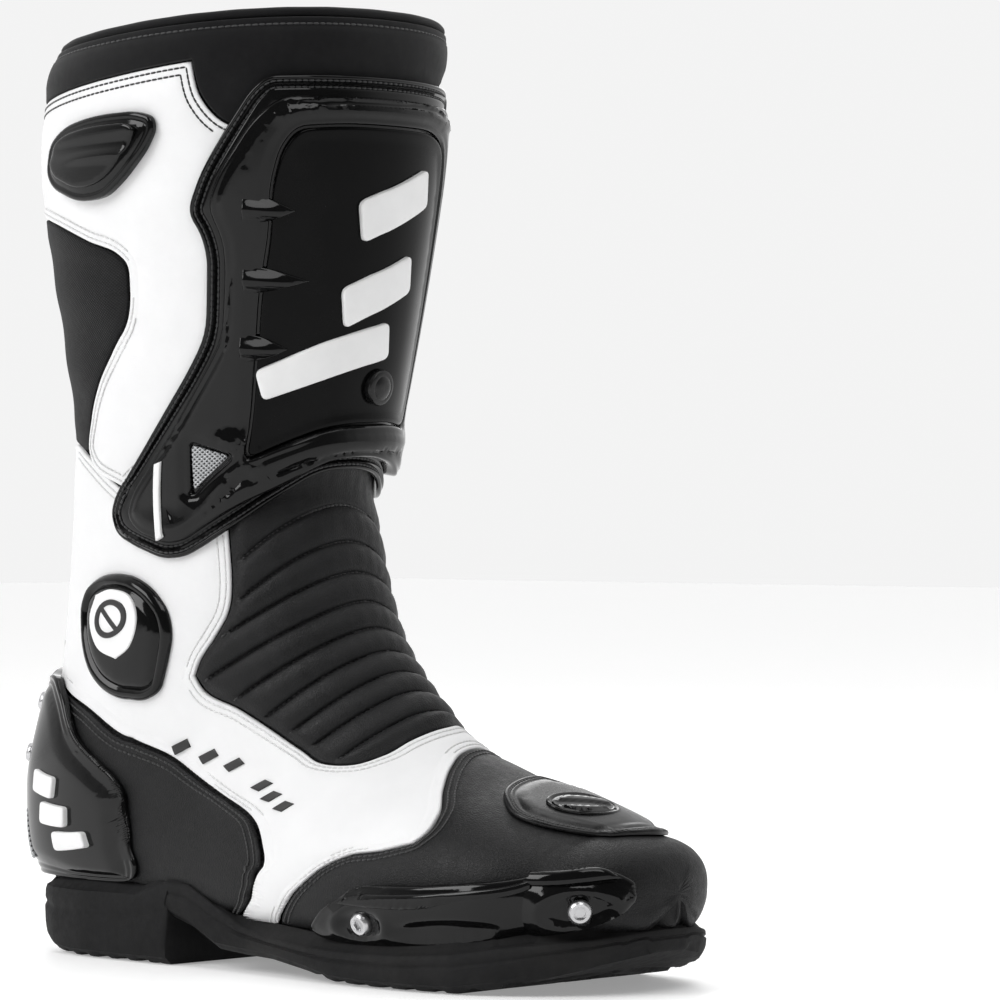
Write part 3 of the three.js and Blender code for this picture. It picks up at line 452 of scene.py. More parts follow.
def thread(name, paths, height, material, pitch=3.0, length=2.3, radius=0.36, lift=0.12):
    """Stitches as small bowed lengths of thread along chart paths."""
    spots, tangents, normals = [], [], []
    for path in paths:
        fine = []
        for a, b in zip(path[:-1], path[1:]):
            fine.append(a + (b - a) * np.linspace(0, 1, 3, endpoint=False)[:, None])
        fine = np.vstack(fine + [path[-1:]])
        w = height(fine[:, 0], fine[:, 1])
        solid = skin(fine[:, 0], fine[:, 1], w + lift) / MM
        both = resample(np.hstack([solid, fine]), pitch)
        if len(both) < 2:
            continue
        t = np.gradient(both[:, :3], axis=0)
        spots.append(both[:, :3])
        tangents.append(t / np.maximum(np.linalg.norm(t, axis=1, keepdims=True), 1e-9))
        normals.append(last_normal(both[:, 3], both[:, 4]))
    spot, t, n = np.vstack(spots), np.vstack(tangents), np.vstack(normals)
    n = n - t * (n * t).sum(1)[:, None]
    n /= np.linalg.norm(n, axis=1, keepdims=True)
    side = np.cross(n, t)
    sides = 6
    angle = np.arange(sides) / sides * 2 * np.pi
    sag = -0.55 * (2 * THREAD_X) ** 4 * radius
    ring = (spot[:, None, None] + t[:, None, None] * (THREAD_X * length)[None, :, None, None]
            + n[:, None, None]
            * (sag[:, None] + THREAD_R[:, None] * radius * np.sin(angle))[None, :, :, None]
            + side[:, None, None]
            * (THREAD_R[:, None] * radius * np.cos(angle))[None, :, :, None])
    rings = len(THREAD_X) - 2
    body = ring[:, 1:-1].reshape(len(spot), rings * sides, 3)
    ends = ring[:, [0, -1], 0]
    points = np.concatenate([body, ends], 1)
    base = []
    for r in range(rings - 1):
        for i in range(sides):
            j = (i + 1) % sides
            base.append((r * sides + i, r * sides + j, (r + 1) * sides + j, (r + 1) * sides + i))
    quads = np.array(base)
    first, last = rings * sides, rings * sides + 1
    caps = np.array([(first, (i + 1) % sides, i) for i in range(sides)]
                    + [(last, (rings - 1) * sides + i, (rings - 1) * sides + (i + 1) % sides)
                       for i in range(sides)])
    count = rings * sides + 2
    shift = (np.arange(len(spot)) * count)[:, None, None]
    faces = [tuple(f) for f in (quads[None] + shift).reshape(-1, 4)]
    faces += [tuple(f) for f in (caps[None] + shift).reshape(-1, 3)]
    return mesh_object(name, points.reshape(-1, 3) * MM, faces, material, 80)


def joined(name, objects):
    """Several meshes as one object."""
    bpy.ops.object.select_all(action="DESELECT")
    for obj in objects:
        obj.select_set(True)
    bpy.context.view_layer.objects.active = objects[0]
    if len(objects) > 1:
        bpy.ops.object.join()
    objects[0].name = name
    return objects[0]


# ---------------------------------------------------------------- materials
class Look:
    """A procedural material: patchy colour, varied roughness, stacked bumps, worn edges."""

    def __init__(self, name, dark, light, rough, metal=0.0, sheen=0.0, specular=0.5,
                 patch=26.0):
        self.material = bpy.data.materials.new(name)
        self.material.use_nodes = True
        self.tree = self.material.node_tree
        self.shader = self.tree.nodes["Principled BSDF"]
        for socket, value in (("Metallic", metal), ("Sheen Weight", sheen),
                              ("Sheen Roughness", 0.5),
                              ("Specular IOR Level", specular)):
            self.shader.inputs[socket].default_value = value
        self.coords = self.node("ShaderNodeTexCoord").outputs["Object"]
        self.normal = None
        blotch = self.noise(patch, 5.0, 0.6)
        self.color = self.mix(self.ramp(blotch, 0.35, 0.68), dark, light)
        fine = self.noise(patch * 14, 3.0, 0.6)
        both = self.math("ADD", self.math("MULTIPLY", blotch, 0.6),
                         self.math("MULTIPLY", fine, 0.4))
        self.rough = self.ramp(both, 0.35, 0.65, rough[0], rough[1])

    def node(self, kind, **props):
        made = self.tree.nodes.new(kind)
        for key, value in props.items():
            setattr(made, key, value)
        return made

    def put(self, node, socket, value):
        if isinstance(value, bpy.types.NodeSocket):
            self.tree.links.new(value, node.inputs[socket])
        else:
            node.inputs[socket].default_value = value

    def noise(self, scale, detail=2.0, rough=0.5, vector=None):
        made = self.node("ShaderNodeTexNoise")
        self.put(made, "Vector", vector or self.coords)
        for socket, value in (("Scale", scale), ("Detail", detail), ("Roughness", rough)):
            self.put(made, socket, value)
        return made.outputs[0]

    def ramp(self, value, low, high, out_low=0.0, out_high=1.0):
        made = self.node("ShaderNodeMapRange", interpolation_type="SMOOTHSTEP")
        for socket, v in (("Value", value), ("From Min", low), ("From Max", high),
                          ("To Min", out_low), ("To Max", out_high)):
            self.put(made, socket, v)
        return made.outputs["Result"]

    def math(self, kind, a, b=0.5):
        made = self.node("ShaderNodeMath", operation=kind)
        self.put(made, 0, a)
        self.put(made, 1, b)
        return made.outputs[0]

    def mix(self, factor, a, b):
        made = self.node("ShaderNodeMixRGB")
        for socket, v in (("Fac", factor), ("Color1", a), ("Color2", b)):
            self.put(made, socket, (*v, 1) if isinstance(v, tuple) else v)
        return made.outputs["Color"]

    def bump(self, height, distance, strength=1.0):
        made = self.node("ShaderNodeBump")
        self.put(made, "Strength", strength)
        self.put(made, "Distance", distance)
        self.put(made, "Height", height)
        if self.normal:
            self.put(made, "Normal", self.normal)
        self.normal = made.outputs["Normal"]
        return self

    def pebbles(self, size, depth, strength=1.0):
        """Leather grain: rounded cells of that size in metres."""
        wobble = self.node("ShaderNodeTexNoise")
        self.put(wobble, "Vector", self.coords)
        self.put(wobble, "Scale", 0.5 / size)
        moved = self.node("ShaderNodeVectorMath", operation="MULTIPLY_ADD")
        self.put(moved, 0, wobble.outputs["Color"])
        self.put(moved, 1, (size * 0.9,) * 3)
        self.put(moved, 2, self.coords)
        cells = self.node("ShaderNodeTexVoronoi", feature="DISTANCE_TO_EDGE")
        self.put(cells, "Vector", moved.outputs[0])
        self.put(cells, "Scale", 1 / size)
        return self.bump(self.ramp(cells.outputs["Distance"], 0.0, 0.22), depth, strength)

    def grain(self, scale, depth, strength=1.0, detail=2.0):
        return self.bump(self.noise(scale, detail), depth, strength)

    def weave(self, pitch, depth, dark=None):
        """Two crossing yarn directions on the chart, alternating over and under."""
        uv = self.node("ShaderNodeUVMap", uv_map="chart").outputs["UV"]
        waves = []
        for direction in ("X", "Y"):
            wave = self.node("ShaderNodeTexWave", bands_direction=direction)
            self.put(wave, "Vector", uv)
            self.put(wave, "Scale", 0.05 * 2 * math.pi / pitch)
            self.put(wave, "Distortion", 0.0)
            waves.append(wave.outputs["Fac"])
        over = self.math("MULTIPLY", waves[0], waves[1])
        under = self.math("MULTIPLY", self.math("SUBTRACT", 1.0, waves[0]),
                          self.math("SUBTRACT", 1.0, waves[1]))
        yarn = self.math("ADD", over, under)
        if dark:
            self.color = self.mix(self.ramp(yarn, 0.1, 0.6), dark, self.color)
        return self.bump(yarn, depth)

    def worn(self, tone, amount=0.5, width=0.12, rough=None):
        """Lighter, rubbed edges: near the piece's rim, broken up by noise."""
        rim = self.node("ShaderNodeAttribute", attribute_name="rim").outputs["Fac"]
        near = self.ramp(rim, width, 0.0)
        mask = self.math("MULTIPLY", near, self.ramp(self.noise(90, 4.0, 0.7), 0.45, 0.7))
        mask = self.math("MULTIPLY", mask, amount)
        self.color = self.mix(mask, self.color, tone)
        if rough is not None:
            made = self.node("ShaderNodeMix")
            self.put(made, "Factor", mask)
            self.put(made, "A", self.rough)
            self.put(made, "B", rough)
            self.rough = made.outputs[0]
        return self

    def dusty(self, tone, amount):
        """Low patches of dirt or dust."""
        mask = self.math("MULTIPLY", self.ramp(self.noise(9, 6.0, 0.65), 0.5, 0.8), amount)
        self.color = self.mix(mask, self.color, tone)
        return self

    def done(self):
        self.put(self.shader, "Base Color", self.color)
        self.put(self.shader, "Roughness", self.rough)
        if self.normal:
            self.put(self.shader, "Normal", self.normal)
        return self.material


LEATHER = (Look("black_leather", (0.006, 0.006, 0.0063), (0.011, 0.011, 0.0115), (0.38, 0.54),
                specular=0.22)
           .pebbles(0.00095, 0.00009, 0.75).grain(3200, 0.00004).grain(75, 0.0005, 0.35)
           .worn((0.05, 0.05, 0.052), 0.45, 0.12).done())
WHITE = (Look("white_microfibre", (0.765, 0.765, 0.77), (0.80, 0.80, 0.805), (0.42, 0.58))
         .pebbles(0.0007, 0.00004, 0.5).grain(2600, 0.00003).grain(60, 0.0004, 0.3)
         .worn((0.55, 0.54, 0.52), 0.35, 0.08).dusty((0.72, 0.715, 0.70), 0.15).done())
SUEDE = (Look("black_suede", (0.004, 0.004, 0.0043), (0.009, 0.009, 0.0095), (0.85, 0.98),
              sheen=0.35, specular=0.12)
         .grain(1700, 0.00012).grain(5200, 0.00006).grain(50, 0.0006, 0.4)
         .worn((0.03, 0.03, 0.031), 0.4).done())
NEOPRENE = (Look("collar_neoprene", (0.004, 0.004, 0.0045), (0.008, 0.008, 0.0085), (0.75, 0.9),
                 sheen=0.12, specular=0.12)
            .grain(4200, 0.00007).grain(90, 0.0006, 0.4).done())
STRETCH = (Look("black_stretch_fabric", (0.004, 0.004, 0.0043), (0.009, 0.009, 0.0095),
                (0.7, 0.88), sheen=0.1, specular=0.12)
           .weave(0.0011, 0.00014).grain(60, 0.0005, 0.4).done())
LINING_CLOTH = (Look("lining_textile", (0.018, 0.018, 0.020), (0.035, 0.035, 0.038), (0.8, 0.95),
                     sheen=0.2)
                .weave(0.0024, 0.00035, (0.004, 0.004, 0.004)).done())
TAPE = (Look("zip_tape", (0.010, 0.010, 0.011), (0.020, 0.020, 0.021), (0.75, 0.9))
        .weave(0.0012, 0.0002).done())
FOAM = (Look("foam", (0.035, 0.036, 0.038), (0.06, 0.06, 0.065), (0.88, 0.98))
        .grain(1300, 0.0003).grain(400, 0.0003).done())
BOARD = (Look("fibre_board", (0.16, 0.11, 0.07), (0.26, 0.19, 0.12), (0.8, 0.95))
         .grain(900, 0.0001).done())
GLOSS = (Look("gloss_black_plastic", (0.002, 0.002, 0.0021), (0.0035, 0.0035, 0.0036),
              (0.05, 0.11), specular=0.28)
         .grain(55, 0.0003, 0.12).grain(1900, 0.000006)
         .worn((0.03, 0.03, 0.03), 0.35, 0.05, 0.4).done())
WINDOW_BLACK = (Look("gloss_black_window", (0.0015, 0.0015, 0.0016), (0.003, 0.003, 0.0031),
                     (0.10, 0.16), specular=0.09)
                .grain(55, 0.0002, 0.1).grain(1900, 0.000006).done())
MATTE = (Look("matte_black_plastic", (0.004, 0.004, 0.0042), (0.008, 0.008, 0.0083), (0.24, 0.34),
              specular=0.3)
         .grain(1400, 0.00003).grain(60, 0.0004, 0.15)
         .worn((0.04, 0.04, 0.04), 0.35, 0.06, 0.5).done())
BADGE = (Look("white_plastic", (0.80, 0.80, 0.80), (0.87, 0.87, 0.87), (0.29, 0.33))
         .grain(900, 0.000005).worn((0.6, 0.6, 0.58), 0.3, 0.06).done())
RUBBER = (Look("tread_rubber", (0.007, 0.007, 0.0073), (0.013, 0.013, 0.0136), (0.62, 0.8),
               specular=0.15)
          .grain(1500, 0.00008).grain(260, 0.0002, 0.6).dusty((0.05, 0.048, 0.045), 0.35).done())
STEEL = (Look("stainless_steel", (0.50, 0.50, 0.51), (0.62, 0.62, 0.63), (0.22, 0.38), metal=1.0)
         .grain(2500, 0.00002).dusty((0.3, 0.29, 0.28), 0.3).done())
ZIP_METAL = (Look("zip_metal", (0.05, 0.05, 0.053), (0.09, 0.09, 0.095), (0.3, 0.45), metal=0.8)
             .grain(1800, 0.00004).done())
NET = (Look("grey_mesh", (0.42, 0.43, 0.44), (0.60, 0.61, 0.62), (0.35, 0.5), metal=0.3)
       .weave(0.0017, 0.0005, (0.01, 0.01, 0.01)).done())
THREAD_BLACK = (Look("black_thread", (0.006, 0.006, 0.006), (0.016, 0.016, 0.017), (0.5, 0.7),
                     sheen=0.2)
                .grain(4000, 0.0001).done())
THREAD_GREY = (Look("grey_thread", (0.018, 0.018, 0.019), (0.035, 0.035, 0.036), (0.5, 0.7),
                    sheen=0.2)
               .grain(4000, 0.0001).done())
THREAD_WHITE = (Look("white_thread", (0.60, 0.60, 0.60), (0.75, 0.75, 0.75), (0.55, 0.7),
                     sheen=0.2)
                .grain(4000, 0.0001).done())
INK = (Look("printed_black", (0.010, 0.010, 0.010), (0.020, 0.020, 0.020), (0.4, 0.55))
       .grain(2600, 0.00003).done())


# ---------------------------------------------------------------- shared shapes
def fillet(outline, radius):
    """Straight sides with rounded corners, for moulded parts."""
    p = np.array(outline, float)
    out = []
    for i in range(len(p)):
        a, b, c = p[i - 1], p[i], p[(i + 1) % len(p)]
        la, lc = np.linalg.norm(a - b), np.linalg.norm(c - b)
        cut = min(radius, 0.45 * la, 0.45 * lc)
        start, end = b + (a - b) / la * cut, b + (c - b) / lc * cut
        for u in np.linspace(0, 1, 5):
            out.append((1 - u) ** 2 * start + 2 * u * (1 - u) * b + u * u * end)
    return out


def box(s0, s1, th0, th1):
    return [[s0, th0], [s1, th0], [s1, th1], [s0, th1]]


def oval(s, th, rs, rth, n=28, power=2.0):
    a = (np.arange(n) + 0.5) / n * 2 * np.pi
    c, d = np.cos(a), np.sin(a)
    return np.stack([s + rs * np.sign(c) * np.abs(c) ** (2 / power),
                     th + rth * np.sign(d) * np.abs(d) ** (2 / power)], 1).tolist()


def groove(d, at, width, depth):
    return -depth * np.exp(-((d - at) / width) ** 2)


def swell(s, th, seed=0.0, size=1.0):
    """Slow waves that stop soft leather from looking machined."""
    return size * 0.22 * (np.sin(s / 17 + seed) * np.cos(th / 23 + 2 * seed)
                          + 0.6 * np.sin(s / 9.3 - th / 14 + seed * 3))


def stitched(insets, seed=0.0, size=1.0):
    """Relief of a sewn leather edge: a channel under each row and a slight puff inside."""
    def relief(s, th, d):
        w = sum(groove(d, i, CHANNEL_WIDTH, CHANNEL_DEPTH) for i in insets)
        return (w + PILLOW * smooth(insets[-1] + 0.5, insets[-1] + 6, d)
                + swell(s, th, seed, size) * smooth(3, 14, d) * smooth(445, 410, s))
    return relief


def rows(insets):
    """Mesh rings for stitch channels: the middle and both banks."""
    out = []
    for i in insets:
        out += [i - 0.6, i, i + 0.6]
    return out


def sewn(node, outline, material, insets, thread_material, keep=None, high=2.0, seed=0.0,
         size=1.0):
    """A leather panel with rows of stitches inside its edge, as two pieces on one body."""
    patch = Patch(outline, UPPER, high, roll=LEATHER_ROLL, rings=rows(insets),
                  relief=stitched(insets, seed, size))
    attach(patch.build(node, material), node)
    paths = [run for i in insets for run in patch.seam(i, keep or (lambda s, th: s > -99))]
    if paths:
        line = thread(f"{node}_stitches", paths, patch.height, thread_material)
        attach(line, body="bend" if node in BENDS else BODY_OF[node])
    return patch


def turned(name, s, th, profile, material, n=48):
    """Turned fastener on the skin's normal; a profile row is radius, height, sides."""
    sa, ta = np.array([s], float), np.array([th], float)
    normal = last_normal(sa, ta)[0]
    side = last_point(sa + 1, ta)[0] - last_point(sa - 1, ta)[0]
    side -= normal * side.dot(normal)
    side /= np.linalg.norm(side)
    other = np.cross(normal, side)
    foot = last_point(sa, ta)[0] + SHIFT
    a = np.arange(n) / n * 2 * np.pi
    rings = []
    for row in profile:
        r, h = row[0], row[1]
        sides = row[2] if len(row) > 2 else n
        flat = np.pi / sides
        turn = (a % (2 * flat)) - flat
        rr = r * np.cos(flat) / np.cos(turn) if len(row) > 2 else np.full(n, r)
        rings.append(foot + normal * h + side * (rr * np.cos(a))[:, None]
                     + other * (rr * np.sin(a))[:, None])
    points = np.vstack([[foot + normal * profile[0][1]]] + rings
                       + [[foot + normal * profile[-1][1]]])
    faces = []
    count = len(rings)
    for i in range(n):
        j = (i + 1) % n
        faces.append((0, 1 + j, 1 + i))
        for r in range(count - 1):
            k = 1 + r * n
            faces.append((k + i, k + j, k + n + j, k + n + i))
        last = 1 + (count - 1) * n
        faces.append((len(points) - 1, last + i, last + j))
    return mesh_object(name, points * MM, faces, material, 35)


def socket_screw(r, low, high, key=1.7):
    """Profile of a button-head screw with a six-sided socket."""
    dome = high - low
    return [[r * 0.97, low], [r, low + 0.15 * dome], [r, low + 0.45 * dome],
            [r * 0.93, low + 0.78 * dome], [r * 0.78, high], [r * 0.55, high + 0.05],
            [key + 0.25, high], [key, high - 0.15, 6], [key, high - 1.1, 6],
            [key * 0.5, high - 1.25, 6]]


# ---------------------------------------------------------------- sole
# x, height of the tread, top of the side wall, half widths outer and inner
SOLE = np.array([
    [-134, 15, 24.5, 12, 12], [-130, 10, 24.5, 22, 22], [-122, 4.5, 24.5, 32, 31],
    [-111, 1, 24.5, 38.5, 36.7], [-100, 0, 24.5, 41.4, 39.2], [-90, 0, 24.5, 43.5, 41],
    [-60, 0, 25, 45, 43], [-47, 0, 29, 45.5, 43], [-43.5, 0, 30, 45.5, 43],
    [-42.5, 17, 30, 45.5, 43], [-33, 14, 29.5, 45, 42.5], [-19, 7, 23, 45, 42],
    [-5, 6, 17, 46, 42.5],
    [10, 5.5, 14, 48, 44], [30, 3, 12.5, 51, 46.5], [45, 0.4, 12, 53, 48], [60, 0, 12, 54, 49],
    [80, 0, 12.5, 54, 50], [100, 0, 14, 51, 49], [116, 2.5, 16.5, 45, 46],
    [130, 6.5, 18.3, 36, 41], [139, 9.5, 19.6, 25.5, 33.5], [144.6, 12, 20.8, 14.5, 25],
    [147, 13.3, 21.6, 6, 17], [148.2, 14, 22, 2, 13],
], float)


def sole_row(x, column):
    return np.interp(x, SOLE[:, 0], SOLE[:, column])


def tread_height(x, y):
    """Height of the underside: bars, arch and rounded edge."""
    edge = np.abs(y) / np.maximum(np.where(y < 0, sole_row(x, 3), sole_row(x, 4)), 1)
    z = sole_row(x, 1)
    arch = (x > -43) & (x < 30)
    side = smooth(24, 40, np.abs(y))
    z = np.where(arch, np.minimum(z, 7) * (1 - side) + z * side, z)
    bars = smooth(0.45, 0.8, np.abs(np.sin(np.pi * (x + 0.35 * np.abs(y)) / 11)))
    centre = smooth(2.0, 3.2, np.abs(y))
    tread = smooth(0.98, 0.9, edge) * np.where(x > 0, smooth(34, 38, x) * smooth(132, 120, x),
                                               smooth(-48, -52, x))
    round_off = 2.5 * smooth(0.93, 1.0, edge)
    return z + 2.0 * tread * (1 - np.minimum(bars, centre)) + round_off


def build_sole():
    rim = np.vstack([np.stack([SOLE[:, 0], -SOLE[:, 3]], 1),
                     np.stack([SOLE[:, 0], SOLE[:, 4]], 1)[::-1]])
    line = divided(rim, lambda a, b: max(int(np.linalg.norm(b - a) / 1.5), 1))
    line = anticlockwise(relaxed(line, 6))
    free = []
    for r in (0.6, 1.6, 3.0, 4.6):
        moved, good = offset_line(line, r, True)
        free.append(moved[good])
    grid = np.array([(x, y) for x in np.arange(-133, 149, 1.7) for y in np.arange(-54, 51, 1.7)])
    breast = np.array([(x, y) for x in (-43.6, -42.4) for y in np.arange(-43, 42, 1.5)])
    grid = np.vstack([grid[np.abs(grid[:, 0] + 43) > 1.2], breast])
    grid = grid[inside(grid, line)]
    grid = grid[reach(grid, [line], True) > 5.4]
    points = np.vstack([line] + free + [grid])
    n = len(line)
    out = geometry.delaunay_2d_cdt([Vector(p) for p in points],
                                   [(i, (i + 1) % n) for i in range(n)], [], 0, 1e-4)
    flat = np.array([tuple(p) for p in out[0]])
    tris = np.array([f for f in out[2] if len(f) == 3])
    tris = tris[inside(flat[tris].mean(1), line)]
    edge = reach(flat, [line], True)
    x, y = flat[:, 0], flat[:, 1]
    low = tread_height(x, y)
    s, th = np.meshgrid(np.arange(228, 450.1, 2.0), np.arange(60, 301, 3.0), indexing="ij")
    under = last_point(s.ravel(), th.ravel()) + last_normal(s.ravel(), th.ravel()) * SEAT
    width = s.shape[1]
    quads = [(i * width + j, i * width + j + 1, (i + 1) * width + j + 1, (i + 1) * width + j)
             for i in range(s.shape[0] - 1) for j in range(width - 1)]
    tree = BVHTree.FromPolygons([tuple(p) for p in under], quads)
    rim_z = sole_row(x, 2)
    high = []
    lift = 4.0 * smooth(1.5, 5, edge)
    for px, py, pz, more in zip(x, y, rim_z, lift):
        hit = tree.ray_cast(Vector((px, py, -60)), Vector((0, 0, 1)))[0]
        high.append(min(pz + more, hit.z) if hit is not None else pz)
    high = np.array(high) - 0.9 * smooth(1.6, 0.0, edge)
    high = np.maximum(high, low + 1.0)
    count = len(flat)
    below = np.stack([x, y, low], 1)
    above = np.stack([x, y, high], 1)
    pairs = triangle_edges(tris)
    seen = {(a, b) for a, b in pairs.tolist()}
    loop = {a: b for a, b in pairs.tolist() if (b, a) not in seen}
    order = [next(iter(loop))]
    while loop[order[-1]] != order[0]:
        order.append(loop[order[-1]])
    order = np.array(order)
    ring = flat[order]
    t = np.roll(ring, -1, 0) - np.roll(ring, 1, 0)
    out_n = np.stack([t[:, 1], -t[:, 0]], 1)
    out_n /= np.linalg.norm(out_n, axis=1, keepdims=True)
    wall = ((0.08, 0.25), (0.22, 0.55), (0.52, 0.75), (0.60, 0.05), (0.66, 0.05), (0.74, 0.6),
            (0.9, 0.5))
    levels = [below[order]]
    for share, proud in wall:
        z = below[order, 2] + share * (above[order, 2] - below[order, 2])
        levels.append(np.column_stack([ring + out_n * proud, z]))
    points = np.vstack([below, above] + levels[1:])
    m = len(order)
    ids = [order] + [2 * count + i * m + np.arange(m) for i in range(len(wall))] + [order + count]
    faces = [tuple(f) for f in (tris[:, ::-1])] + [tuple(f) for f in tris + count]
    for a, b in zip(ids[:-1], ids[1:]):
        for i in range(m):
            j = (i + 1) % m
            faces.append((a[i], a[j], b[j], b[i]))
    obj = mesh_object("outsole", (points + SHIFT) * MM, faces, RUBBER, 42)
    attach(obj, "outsole")


# ---------------------------------------------------------------- lining and hidden layers
PIVOT = (-66.0, 115.0)


def split_line(radius, front, back):
    """Where the lining of the shaft and of the foot part round the ankle."""
    line = []
    for th in np.arange(-180, 181, 5.0):
        s = np.arange(60, 330, 0.5)
        p = last_point(s, np.full(len(s), th)) + last_normal(s, np.full(len(s), th)) * -2.7
        x, z = p[:, 0] - PIVOT[0], p[:, 2] - PIVOT[1]
        ray = np.degrees(np.arctan2(z, np.abs(x)))
        hit = (np.hypot(x, z) < radius) | (ray < np.where(x > 0, front, back))
        line.append([float(s[np.argmax(hit)]) if hit.any() else 330.0, float(th)])
    return line


def build_inside():
    shaft = split_line(53, 44, 0)
    foot = split_line(50, 27, -12)
    for node, outline in (("shaft_lining", [[1, 180], [1, -180]] + shaft),
                          ("foot_lining", foot + [[TIP_S, 180], [TIP_S, -180]])):
        patch = Patch(outline, *LINING, roll=0, step=4.0,
                      relief=lambda s, th, d: swell(s, th, 1.3, 0.6) - 0.1)
        attach(patch.build(node, LINING_CLOTH), node)
    insole = [[296, 180], [299, 166], [310, 155], [330, 146], [415, 144], [426, 160], [426, 200],
              [415, 216], [330, 214], [310, 205], [299, 194]]
    pads = (("insole", insole, -9.6, -5.7), ("ankle_foam", oval(214, 94, 21, 26), -1.0, -0.2),
            ("shin_foam", box(30, 150, -34, 34), -1.0, -0.2))
    for node, outline, low, high in pads:
        patch = Patch(outline, low, high, roll=0.7, step=4.0,
                      relief=lambda s, th, d: (
                          0.15 * np.sin(s / 3) * np.sin(th / 3) * smooth(2, 5, d) - 0.15))
        obj = attach(patch.build(node, FOAM), node)
    for node, material in (("toe_puff", BOARD), ("heel_counter", BOARD), ("lasting_board", BOARD),
                           ("steel_shank", STEEL), ("zip_gusset", TAPE)):
        mesh = frame["nodes"][node].data
        mesh.materials.clear()
        mesh.materials.append(material)


# ---------------------------------------------------------------- foot uppers
VAMP = [
    [347, 106], [346, 92], [346.5, 84], [350, 76], [358.5, 70], [366.5, 62],
    [366.5, 55], [360.5, 43], [343.5, 29], [327.5, 16], [319.5, 7], [315.5, -5], [316.5, -17],
    [317.5, -35], [319.5, -55], [323.5, -76], [330.6, -90], [336.4, -105], [336.4, -140],
    [375, -150], [390, -180], [TIP_S, -180], [TIP_S, 180], [390, 180], [375, 150], [347, 140],
]
PAD = [
    [361, -13], [355, -7], [358, 6], [367, 17], [375, 22], [387, 28], [400, 28], [414, 23],
    [425, 16], [428, 1], [427, -20], [418, -36], [402, -44], [386, -42], [372, -33],
]
QUARTER = [
    [145.6, 148], [145.6, 129], [152, 114], [166, 93.5], [160, 86], [160, 50.5], [185, 50.5],
    [215, 56], [223, 62], [231, 68], [236, 70], [242, 68], [256, 58.5], [273, 51.5], [286, 48.5],
    [296, 47.5], [304.5, 42], [306, 32], [301.5, 19], [297.5, 2], [295.5, -15], [300.5, -24],
    [303.5, -37], [297.5, -46], [300.5, -60], [308, -75.5], [322.5, -75.5], [318.7, -55],
    [316.6, -35], [315.6, -17], [314.7, -5], [318.7, 7], [326.7, 16], [342.7, 29], [359.7, 43],
    [365.7, 55.5], [365.7, 61.5], [358, 69.2], [349.2, 75.5], [345.7, 84], [345.2, 92],
    [346.2, 106], [346.2, 138], [337, 138], [337, 104], [332, 90.5], [323, 81.4], [310, 74.2],
    [291, 72.2], [269.5, 77.2], [254.5, 88.2], [238.2, 105.5], [232.4, 118], [227.4, 134],
    [227.4, 148],
]
HEEL = [
    [228.2, 180], [228.2, 134.5], [233.2, 118.6], [239, 106.4], [255.2, 89.2], [270, 78.2],
    [291, 73.2], [309.7, 75.2], [322.3, 82.4], [331.2, 91.4], [336.2, 104.4], [336.2, 138],
    [318, 140], [300, 151], [291, 163], [288, 180], [291, 197], [300, 209], [318, 220],
    [336.2, 222], [336.2, 254.5], [331.2, 266], [322.3, 277], [309.7, 281.5], [291, 280],
    [278, 270.5], [269.5, 256.5], [255.2, 241.4], [240, 231.4], [231, 220.5], [228.2, 209],
]
MEDIAL_FRONT = [
    [160, -89.6], [160, -50.5], [185, -50.5], [215, -54.5], [236, -63], [256, -56.5],
    [273, -50.5], [296.7, -46.8], [299.6, -60.6], [307.3, -76.5], [323.2, -76.8], [330.5, -91],
    [323, -82], [309.7, -77.6], [291, -79], [277.5, -88.8], [271, -97], [267, -97], [265, -89.6],
]
MEDIAL_REAR = [
    [159.6, -104.6], [265, -104.6], [267, -105.5], [254.6, -118], [239.2, -127.6],
    [230.2, -139], [227.4, -149.6], [159.6, -149.6],
]


